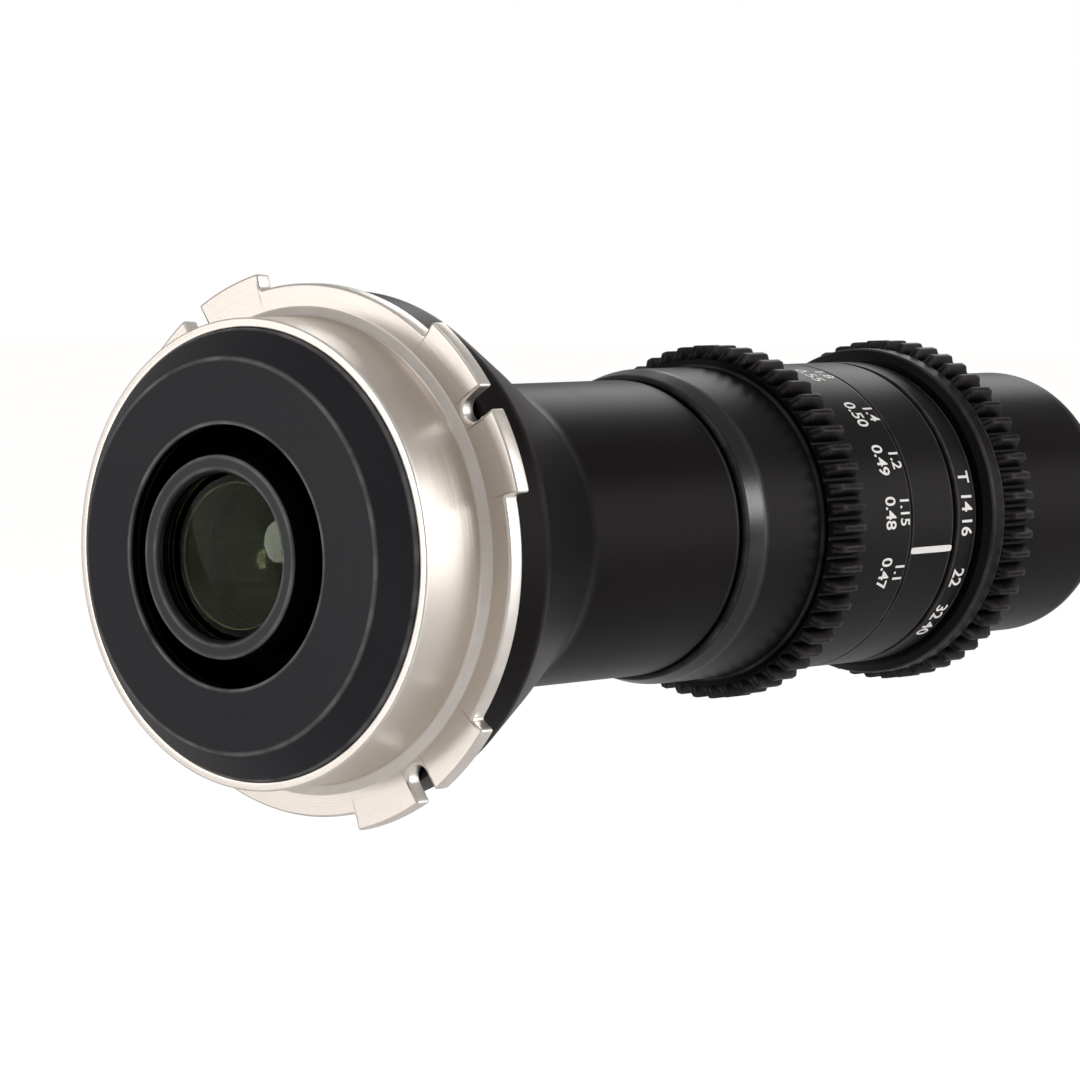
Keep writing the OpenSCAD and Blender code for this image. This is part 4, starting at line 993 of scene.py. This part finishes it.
@dataclass
class CameraMount(SubAssembly):
    """The silver mount: tube, flange and four notched lugs in one piece.

    bevel is the radius where the tube meets the flange's back, lug_half the half angle of a
    lug, and gap_stand, top_stand and mouth_stand are angles in degrees off a lug's side and
    off its notch's mouth, for the ends of the arcs and the corners between them.
    """

    tube: float = 27.0
    bevel: float = 28.2
    bevel_x: float = -0.6
    bevel_inset: float = 0.3
    bevel_painted_highlight: float = 0.6
    flange: float = 30.8
    thick: float = 2.1
    web: float = 17.2
    section: tuple = trace(
        flat=at(0.0, 28.32), bevel=out(bevel, CRISP), tube=at(bevel_x, tube, FULL),
        tube_back=along(-9.8, WORN, rows=(-4.0, -8.0)), bore=out(25.9, EASED), web_back=along(-1.5, ROUND),
        web=out(web, BROKEN), web_front=along(thick, BROKEN),
    )
    lugs: int = 4
    lug: float = 32.8
    lug_half: float = 20.25
    foot_reach: float = 0.45
    notch_half: float = 1.5
    notch_centre: float = 30.3
    chamfer: float = 0.28
    flat_edge: float = 0.02
    gap_stand: tuple = (1.6, 0.5)
    top_stand: tuple = (0.3, 1.2)
    mouth_stand: tuple = (0.9, 0.85, 0.5)
    gap_points: int = 14
    top_points: int = 12
    notch_points: int = 13
    chamfer_steps: int = 3

    def quarter(self) -> np.ndarray:
        """Outline of one lug and the flange beside it, seen along the axis.

        Returns:
            A row for each corner: across, height and reach, with the lug at the top, and the
            clock angle on the tube that it stands over.
        """
        def arc(radius: float, first: float, last: float, count: int) -> np.ndarray:
            """Rows of an arc between two angles in degrees."""
            a = np.radians(np.linspace(first, last, count))
            return np.stack([radius * np.sin(a), radius * np.cos(a), 0 * a, np.degrees(a)], -1)

        half, notch = self.lug_half, self.notch_half
        mouth = math.degrees(math.asin(notch / self.lug))
        flank = np.concatenate([arc(self.flange, -half, -half, 1), arc(self.lug, -half, -half, 1)])
        flank[:, 2:] = (self.foot_reach, -half - self.gap_stand[1]), (FULL, -half + self.top_stand[0])
        rows = np.concatenate([
            arc(self.flange, -FULL_TURN / 2 / self.lugs, -half - self.gap_stand[0], self.gap_points), flank,
            arc(self.lug, -half + self.top_stand[1], -mouth - self.mouth_stand[0], self.top_points), [
                (-notch, math.sqrt(self.lug**2 - notch**2), ROUND, -mouth - self.mouth_stand[1]),
                (-notch, self.notch_centre, 0.0, -mouth - self.mouth_stand[2]),
            ],
        ])
        floor = arc(notch, -90, 90, self.notch_points)[1:-1]
        floor[:, 1] = self.notch_centre - floor[:, 1]
        floor[:, 3] = np.degrees(np.arcsin(floor[:, 0] / self.tube))
        return np.concatenate([rows, floor, (rows[::-1] * (-1, 1, 1, -1))[:-1]])

    def outline(self) -> tuple:
        """Outline of the flange and its lugs.

        Returns:
            The points (Y, Z), the outward normal at each, and the unit direction from the
            axis that each stands over on the tube.
        """
        turns = np.radians(INDEX_CLOCK + FULL_TURN / 2 / self.lugs + even_angles(self.lugs))[:, None]
        x, y, reach, stand = self.quarter().T
        flat = y * np.cos(turns) - x * np.sin(turns), y * np.sin(turns) + x * np.cos(turns)
        corners = np.stack(np.broadcast_arrays(*flat, reach), -1).reshape(-1, 3)
        outline, _ = rounded(corners)
        spots = corners[:, :2]
        side = np.roll(spots, -1, axis=0) - spots
        gap = outline[:, None] - spots[None]
        share = np.clip(np.sum(gap * side, -1) / np.sum(side**2, -1), 0, 1)
        nearest = np.argmin(np.linalg.norm(gap - share[..., None] * side, axis=-1), axis=1)
        position = nearest + share[np.arange(len(outline)), nearest]
        foot = (turns + np.radians(stand)).ravel()
        foot = np.append(foot, foot[0] + math.radians(FULL_TURN))
        a = np.interp(position, np.arange(len(foot)), foot)
        run = np.roll(outline, -1, axis=0) - np.roll(outline, 1, axis=0)
        normal = np.stack([-run[:, 1], run[:, 0]], -1) / np.hypot(*run.T)[:, None]
        return outline, normal, np.stack([np.cos(a), np.sin(a)], -1)

    def build(self) -> None:
        """Builds the mount as one grid of section rows by outline points.

        Row k is the lug outline moved inward by d_k along its normal at x_k, or the circle
        of radius r_k at x_k; columns follow the outline.
        """
        outline, normal, circle = self.outline()
        c = self.chamfer
        front = [(self.thick, self.web), (self.thick, self.bevel - self.bevel_inset)]
        bend = np.linspace(0, math.pi / 2, self.chamfer_steps + 1)[1:-1]
        edges = [
            (self.thick, c), *[(self.thick - c * (1 - math.cos(a)), c * (1 - math.sin(a))) for a in bend],
            (self.thick - c, 0), (c, 0), *[(c * (1 - math.sin(a)), c * (1 - math.cos(a))) for a in bend],
            (0.0, c), (0.0, c + self.flat_edge),
        ]
        inner, wear = rounded(self.section)
        x, r = inner.T
        on_bevel = (x > self.bevel_x - CRISP) & (r > self.tube + CRISP) & (r < self.bevel + CRISP)
        grid = []
        for table, base, step in ((front, 0, circle), (edges, outline, normal), (inner, 0, circle)):
            grid += [np.column_stack([np.full(len(circle), x), base + amount * step]) for x, amount in table]
        # Painted highlight: the bevel ring at the tube's foot gets part of the brighter rubbed colour, as a
        # bright ring.
        wear = np.maximum(wear, self.bevel_painted_highlight * on_bevel)
        line = np.concatenate([np.zeros(len(front)), np.ones(len(edges) - 1), [0.0], wear])
        faces = strip_faces(len(grid), len(circle), True).reshape(-1, 4)
        surface = Surface(np.concatenate(grid), [faces], np.repeat(line, len(circle)))
        self.shop.place(surface, "mount_body", "satin_mount_metal", "bayonet_mount", slot="satin_mount_metal")
        self.shop.keep(shim_brass="mount_shim", screw_steel="mount_screws")


@dataclass
class RearBaffle(SubAssembly):
    """The black stepped ring inside the mount tube, with its thin floor plate.

    outer, face and hole are the (x, r) of its rear side's edges. skin is how deep that
    side's finish goes, and beyond keeps the outside wall out of the darker black that paints shade inside.
    """

    outer: tuple = (-10.05, 25.85)
    face: tuple = (-13.3, 22.5)
    hole: tuple = (-13.8, 15.0)
    front: float = -1.5
    section: tuple = trace(
        floor=at(front, outer[1]), slope=at(*outer, EASED), face=at(*face, 0.09), crown=at(-13.45, 20.0),
        crown_end=at(-13.65, 17.2), hole=at(*hole, EASED), hole_end=along(-12.1, EASED),
        inner_face=at(-11.6, 22.25), inner_slope=at(-9.2, 24.15), wall=along(-2.5), floor_back=out(11.65),
        floor_front=along(front),
    )
    skin: float = 0.35
    beyond: float = 20.0

    def build(self) -> None:
        """Builds the baffle by turning its section; only its rear side keeps the first finish, and the faces
        inside take a darker black as painted shade.
        """
        ring = lathe(self.section, LARGE_COLUMNS)
        piece = self.shop.place(ring, "baffle_ring", "matte_black", "rear_baffle")
        places, radii = np.transpose([self.hole, self.face, self.outer])
        # Painted shade: faces more than skin behind the rear side, the outside wall aside, take the darker
        # black.
        self.shop.second_finish(
            piece, "inner_black",
            lambda x, r: x > np.interp(r, radii, places) + self.skin + self.beyond * (r > radii[-1] - CRISP),
        )


@dataclass
class RearOptics(SubAssembly):
    """The rear cell with its rim, glass and spacer ring."""

    radius: float = 10.05
    cell: tuple = trace(
        land=at(-14.8, 9.95, CRISP), back=out(11.6, WORN), front=along(19.2, ROUND, rows=(-14.2, -6.0)),
        ledge=out(9.1, EASED), ledge_end=along(-1.2), bore=out(10.1), seat=along(-12.9),
        rim=out(9.5, CRISP), lip=along(-14.2, CRISP, rows=(-13.6,)),
    )
    spacer: tuple = trace(
        start=at(-10.3, 8.05, EASED), rim=out(radius, BROKEN), end=along(-5.7, BROKEN),
        bore=out(8.05, EASED), waist=at(-7.0, 8.35), waist_end=at(-8.5, 8.15),
    )
    rear: Lens = Lens(radius=radius, cap=9.45, rim=-12.9, flat=-10.3, bulge=0.7)
    inner: Lens = Lens(radius=radius, cap=8.0, rim=-4.6, flat=-1.2, bulge=-1.2)
    painted_shade_x: float = -14.45

    def build(self) -> None:
        """Builds the cell, its rear element and the ring behind it."""
        cell = self.shop.place(lathe(self.cell), "rear_cell", "bright_rim", "rear_lens_cell")
        # Painted shade: the cell's wall down in the baffle's hole takes the darker black; only its rim stays
        # grey.
        self.shop.second_finish(cell, "inner_black", lambda x, r: x > self.painted_shade_x)
        self.shop.place(self.rear, "rear_glass", "optical_glass", "rear_lens", slot="optical_glass")
        self.shop.place(lathe(self.spacer, SMALL_COLUMNS), "rear_spacer", "bronze_ring", "rear_lens_ring")
        self.shop.place(self.inner, "inner_glass", "inner_glass", "rear_inner_lens", slot="optical_glass")


@dataclass
class RearHousing(SubAssembly):
    """The base disc, cone and rear barrel."""

    hole: Pocket = Pocket(x=43.55, radius=18.4, half=(1.05, 1.05), floor=17.5)
    section: tuple = trace(
        hub=at(2.3, 11.65), groove_hub=out(13.05), groove_floor=along(11.3), groove_wall=out(16.95),
        back=along(2.3), base=out(29.9, FULL), rim=along(7.9, 0.5, rows=(6.4,)), cone=at(18.0, 24.75),
        barrel=at(29.7, 18.4, 1.4), end=along(57.4, SOFT, rows=(36.0, *hole.places(), 50.0)),
        bore=out(17.55, BROKEN), hub_end=along(41.0), hub_bore=out(11.65),
    )

    def build(self) -> None:
        """Builds the housing with its grub screw hole."""
        ring = lathe(self.section, LARGE_COLUMNS)
        ring.cut(self.hole)
        self.shop.place(ring, "housing_shell", "black_anodised", "rear_housing")
        self.shop.keep(
            bare_aluminium="main_barrel sleeve_retainer guide_tube tube_lock_ring",
            black_screw_steel="grub_screws guide_screws",
            black_plastic="thrust_washer_rear thrust_washer_front",
        )


@dataclass
class FocusUnit(SubAssembly):
    """The focus ring with its gear and numbers, and what it drives."""

    teeth: Teeth = Teeth(start=72.9, width=6.7)
    key: Pocket = Pocket(x=66.0, radius=RING, half=(1.49, 1.49), floor=18.65,
                         rows=(-2.3, -1.7, -0.8, 0.8, 1.7, 2.3))
    section: tuple = trace(
        start=at(58.3, RING_BORE, BROKEN), back=out(18.9, ROUND), band=at(59.8, 19.3),
        band_end=at(61.4, RING, 0.4), gear_back=along(teeth.start, EASED, rows=(*key.places(), 70.5)),
        gear=teeth.band(), gear_front=at(teeth.start + teeth.width, RING, EASED),
        end=along(91.7, BROKEN, rows=(83.0, 89.0)), bore=out(RING_BORE, BROKEN),
    )
    polished: tuple = (59.2, 61.6, 19.0)
    distances: Scale = Scale(x=87.4, height=2.15, marks=(
        ("0.47", 199.0), ("0.48", 176.3), ("0.49", 156.2), ("0.50", 136.0), ("0.55", 110.0), ("0.6", 88.0),
        ("0.8", 64.0), ("1", 43.0), ("∞", 22.0)))
    ratios: Scale = Scale(x=90.4, height=1.95, marks=(
        ("1.1", 199.0), ("1.15", 175.9), ("1.2", 156.2), ("1.4", 136.0), ("1.8", 110.0), ("2.5", 88.0),
        ("4", 64.0), ("8", 43.0)))

    def build(self) -> None:
        """Builds the ring, its numbers and the focus group's finishes."""
        ring = self.teeth.ring(self.section)
        ring.cut(self.key)
        grip = self.shop.place(ring, "focus_grip", "satin_black", "focus_ring", body="focus_unit")
        low, high, inner = self.polished
        self.shop.second_finish(grip, "polished_band", lambda x, r: (x > low) & (x < high) & (r > inner))
        self.shop.second_finish(grip, "gear_black", lambda x, r: r > RING + ROUND)
        numbers = Printing(RING).numbers(self.distances, self.ratios)
        self.shop.place(numbers, "focus_numbers", "ink", body="focus_unit")
        self.shop.keep(
            sleeve_brass="focus_cam_sleeve", screw_steel="focus_pins", black_screw_steel="focus_key_screw",
            inner_black="focus_carriage focus_lens_ring", inner_glass="focus_lens_rear focus_lens_front",
        )


@dataclass
class IndexCollar(SubAssembly):
    """The fixed collar with the index line."""

    hole: Pocket = Pocket(x=96.5, radius=RING, half=(1.05, 1.05), floor=17.8)
    section: tuple = trace(
        start=at(92.0, RING_BORE, BROKEN), back=out(RING, FINE), end=along(101.0, SOFT, hole.places()),
        bore=out(RING_BORE, BROKEN),
    )
    line_ends: tuple = (92.1, 100.9)
    line_width: float = 0.85

    def build(self) -> None:
        """Builds the collar and its line."""
        ring = lathe(self.section, LARGE_COLUMNS)
        ring.cut(self.hole)
        self.shop.place(ring, "collar", "satin_black", "index_collar")
        line = Printing(RING).bar(INDEX_CLOCK, self.line_ends, self.line_width)
        self.shop.place(line, "index_line", "ink")


@dataclass
class ApertureUnit(SubAssembly):
    """The T-stop ring with its gear and numbers, and the iris."""

    teeth: Teeth = Teeth(start=110.0, width=6.4)
    section: tuple = trace(
        start=at(101.9, RING_BORE, BROKEN), back=out(RING, SOFT), groove=along(106.0, SOFT, rows=(103.8,)),
        groove_floor=out(18.9, CRISP), groove_end=along(106.6, CRISP), ridge=out(20.35),
        ridge_top=at(107.3, 21.05), land=at(107.65, 21.4, ROUND),
        land_end=along(109.95, BROKEN, rows=(108.4, 109.3)), gear=teeth.band(), front=out(RING, BROKEN),
        bore=out(RING_BORE, BROKEN),
    )
    stops: Scale = Scale(x=104.0, height=2.3, marks=(
        ("T", 164.6), ("14", 174.0), ("16", 183.2), ("22", 203.4), ("32", 219.0), ("40", 228.0)))
    blades: int = 7

    def build(self) -> None:
        """Builds the ring, its numbers and the iris finishes."""
        ring = self.teeth.ring(self.section)
        grip = self.shop.place(ring, "aperture_grip", "satin_black", "aperture_ring", body="aperture_unit")
        start = self.teeth.start
        self.shop.second_finish(grip, "gear_black", lambda x, r: (x > start) & (r > RING + ROUND))
        self.shop.place(Printing(RING).numbers(self.stops), "stop_numbers", "ink", body="aperture_unit")
        self.shop.keep(
            black_screw_steel="aperture_drive_screw",
            blade_steel=" ".join(f"iris_blade_{k + 1}" for k in range(self.blades)),
            inner_black="iris_base iris_cam_ring iris_retainer",
        )


@dataclass
class FrontBarrel(SubAssembly):
    """The plain barrel in front of the gear, with the light's socket at the back."""

    socket: Pocket = Pocket(x=134.5, radius=17.6, half=(1.3, 3.85), floor=11.6, power=12.0,
                            rows=(-2.1, -1.4, -0.7, 0.0, 0.7, 1.4, 2.1))
    section: tuple = trace(
        spigot=at(116.7, 15.9), keeper=out(18.6, SOFT), keeper_end=along(118.1, SOFT),
        barrel=at(118.35, 17.6, CRISP), shoulder=along(139.0, 1.6, rows=(125.0, *socket.places())),
        nose=at(147.0, 11.2, 0.4), bore=out(10.05, EASED), seat=along(127.0), seat_wall=out(14.3),
        spigot_back=along(109.5), spigot_wall=out(15.9),
    )
    steps: int = 6

    def build(self) -> None:
        """Builds the barrel and its socket pocket."""
        ring = lathe(self.section, LARGE_COLUMNS, self.steps)
        ring.cut(self.socket)
        self.shop.place(ring, "front_shell", "black_anodised", "front_barrel")
        self.shop.keep(
            socket_steel="usb_socket", inner_black="relay_cell", inner_glass="relay_cell_lens",
            seal_rubber="tube_seal",
        )


@dataclass
class ProbeTube(SubAssembly):
    """The long thin tube and the relay lenses in it."""

    section: tuple = trace(
        start=at(125.1, 8.7), flange=out(14.2), flange_end=along(127.5), tube=out(TUBE),
        end=along(379.0, FINE, rows=(147.6, 190.0, 260.0, 330.0)), bore=out(8.7, FINE),
    )

    def build(self) -> None:
        """Builds the tube with its flange."""
        self.shop.place(lathe(self.section, SMALL_COLUMNS), "probe_shell", "tube_black", "probe_tube")
        self.shop.keep(
            inner_black="relay_tube relay_spacer_1 relay_spacer_2 relay_ring",
            inner_glass="relay_lens_1 relay_lens_2 relay_lens_3", wire_plastic="led_wires",
        )


@dataclass
class LightHead(SubAssembly):
    """The lit tip: head, lamp board, lamps, window and front element.

    hole is the radius of the hole round the front cell, and seat the place of the front
    element's flat face. lamp_body and lamp_dome are the rings of a lamp, each (x, half size).
    """

    hole: float = 5.15
    seat: float = 388.5
    head: tuple = trace(
        spigot_bore=at(373.0, 7.75), spigot=out(8.65), start=along(379.0), wall=out(TUBE, FINE),
        tip=along(TIP_X, 0.5, rows=(379.6, 386.0)), cup=out(9.0, EASED), cup_floor=along(387.8),
        hole=out(hole), cup_back=along(386.8), bore=out(7.75),
    )
    window: tuple = trace(
        back_bore=at(391.3, hole, CRISP), back=out(8.95, CRISP), front=along(392.5, EASED), row=out(7.2),
        front_bore=out(hole, EASED),
    )
    cell: tuple = trace(
        back=at(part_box("front_lens_cell")[0][0] / MM, 4.2), wall=out(5.1),
        tip=along(TIP_X, EASED, rows=(392.0,)), rim=out(4.15, BROKEN), seat=along(seat), stop=out(2.9),
        stop_back=along(387.3), bore=out(4.2),
    )
    glass: Lens = Lens(radius=4.1, cap=3.85, rim=392.0, flat=seat, bulge=0.7)
    lamp_ring: float = 7.05
    lamp_count: int = 8
    lamp_columns: int = 32
    lamp_body: tuple = ((388.8, 0.78), (389.5, 0.8), (389.6, 0.74), (389.6, 0.6), (389.45, 0.56))
    body_power: float = 8.0
    lamp_dome: tuple = ((389.3, 0.54), (389.47, 0.54), (389.53, 0.42), (389.57, 0.22))
    dome_power: float = 2.0

    def lamps(self, rings: tuple, power: float) -> Surface:
        """The same rings of a rounded square at each lamp's place.

        Args:
            rings: (x, half size) of each ring.
            power: Power of the rounded square.

        Returns:
            The closed surfaces as one.
        """
        u, v = rounded_square(self.lamp_columns, power)
        x, half = np.array(rings).T[..., None]
        height, across = self.lamp_ring + half * u, half * v
        return merged([closed_stack(radial(x, height, across, a)) for a in even_angles(self.lamp_count)])

    def build(self) -> None:
        """Builds the head and what it holds."""
        self.shop.place(lathe(self.head), "tip_head", "tube_black", "light_head")
        bodies = self.lamps(self.lamp_body, self.body_power)
        self.shop.place(bodies, "lamp_bodies", "led_plastic", "leds", slot="led_plastic")
        domes = self.lamps(self.lamp_dome, self.dome_power)
        self.shop.place(domes, "lamp_domes", "phosphor", slot="led_plastic")
        window = lathe(self.window, SMALL_COLUMNS)
        self.shop.place(window, "tip_window", "window_plastic", "light_window", slot="window_plastic")
        self.shop.place(lathe(self.cell, SMALL_COLUMNS), "tip_cell", "bright_rim", "front_lens_cell")
        self.shop.place(self.glass, "tip_glass", "optical_glass", "front_lens", slot="optical_glass")
        self.shop.keep(board_plastic="led_board")


@dataclass(frozen=True)
class Softbox:
    """A round soft lamp: its place, target and size in metres, its power in watts."""

    name: str
    place: tuple
    target: tuple
    size: float
    power: float


@dataclass
class Studio:
    """Plain pale floor, soft lamps and the camera of the photograph."""

    eye: tuple = (-417.92, -385.48, 36.42)
    ahead: tuple = (0.7648, 0.6413, -0.0618)
    focal: float = 164.6
    sensor: float = 36.0
    clip: tuple = (0.01, 50.0)
    floor_z: float = -150.0
    floor_half: float = 6.0
    floor_color: tuple = (0.9, 0.9, 0.9, 1.0)
    floor_roughness: float = 0.9
    floor_glow: float = 0.62
    around: tuple = (1.0, 0.97, 0.95, 1.0)
    around_strength: float = 0.42
    softboxes: tuple = (
        Softbox("side_softbox", (0.8, -0.75, 0.12), (0.08, 0.0, 0.0), 0.8, 2.2),
        Softbox("streak_softbox", (0.42, -0.93, 0.26), (0.06, 0.0, 0.0), 0.34, 3.3),
        Softbox("face_softbox", (-0.9, 0.55, 0.15), (0.0, 0.0, 0.0), 0.9, 1.5),
        Softbox("lens_panel", (-0.87, 0.47, -0.01), (0.0, 0.0, 0.0), 0.13, 0.8),
        Softbox("top_softbox", (-0.1, -0.3, 1.2), (0.1, 0.0, 0.0), 0.6, 0.8),
        Softbox("far_softbox", (1.05, 0.48, 0.62), (0.08, 0.0, 0.0), 0.5, 1.4),
    )

    def build(self) -> None:
        """Builds the floor, the world, the lamps and the camera."""
        self._floor()
        self._world()
        for box in self.softboxes:
            light = bpy.data.lights.new(box.name, "AREA")
            light.shape = "DISK"
            light.size, light.energy = box.size, box.power
            place = np.array(box.place)
            linked(box.name, light).matrix_world = self._aim(place, np.array(box.target) - place)
        self._camera()

    def _floor(self) -> None:
        """The pale floor, a little brighter to the camera."""
        mesh = bpy.data.meshes.new("floor")
        side, z = self.floor_half, self.floor_z * MM
        corners = [(x * side, y * side, z) for x, y in ((-1, -1), (1, -1), (1, 1), (-1, 1))]
        mesh.from_pydata(corners, [], [(0, 1, 2, 3)])
        pale = bpy.data.materials.new("floor_pale")
        pale.use_nodes = True
        graph = Graph(pale.node_tree)
        seen = graph.add("LightPath").outputs["Is Camera Ray"]
        graph.feed(graph.tree.nodes["Principled BSDF"].inputs, {
            "Base Color": self.floor_color, "Roughness": self.floor_roughness, "Emission Color": (1, 1, 1, 1),
            "Emission Strength": graph.math("MULTIPLY", seen, self.floor_glow),
        })
        mesh.materials.append(pale)
        linked("floor", mesh)

    def _world(self) -> None:
        """White to the camera, softer grey to everything else."""
        world = bpy.data.worlds.new("studio")
        bpy.context.scene.world = world
        world.use_nodes = True
        graph = Graph(world.node_tree)
        seen, around = graph.tree.nodes["Background"], graph.add("Background")
        graph.feed(seen.inputs, {"Color": (1, 1, 1, 1)})
        graph.feed(around.inputs, {"Color": self.around, "Strength": self.around_strength})
        ray, blend = graph.add("LightPath").outputs["Is Camera Ray"], graph.add("MixShader")
        graph.feed(blend.inputs, {0: ray, 1: around.outputs[0], 2: seen.outputs[0]})
        graph.feed(graph.tree.nodes["World Output"].inputs, {0: blend.outputs[0]})

    @staticmethod
    def _aim(place: np.ndarray, ahead: np.ndarray) -> Matrix:
        """Where a lamp or camera stands and how it is turned.

        Args:
            place: Its place in metres.
            ahead: The direction that it looks along.

        Returns:
            Its matrix.
        """
        ahead = ahead / np.linalg.norm(ahead)
        right = np.cross(ahead, (0, 0, 1.0))
        right /= np.linalg.norm(right)
        turned = np.stack([right, np.cross(right, ahead), -ahead], 1)
        return Matrix([[*turned[k], place[k]] for k in range(3)] + [[0, 0, 0, 1]])

    def _camera(self) -> None:
        """The camera of the photograph."""
        lens = bpy.data.cameras.new("camera")
        lens.sensor_width, lens.lens = self.sensor, self.focal
        lens.clip_start, lens.clip_end = self.clip
        camera = linked("camera", lens)
        camera.matrix_world = self._aim(np.array(self.eye) * MM, np.array(self.ahead))
        bpy.context.scene.camera = camera
        bpy.context.scene.view_settings.view_transform = "Standard"


def main() -> None:
    """Builds the lens in order, then the studio."""
    logging.basicConfig(level=logging.INFO, format="%(message)s")
    shop = Workshop()
    for part in (CameraMount, RearBaffle, RearOptics, RearHousing, FocusUnit, IndexCollar, ApertureUnit,
                 FrontBarrel, ProbeTube, LightHead):
        part(shop).build()
    Studio().build()


if __name__ == "__main__":
    main()
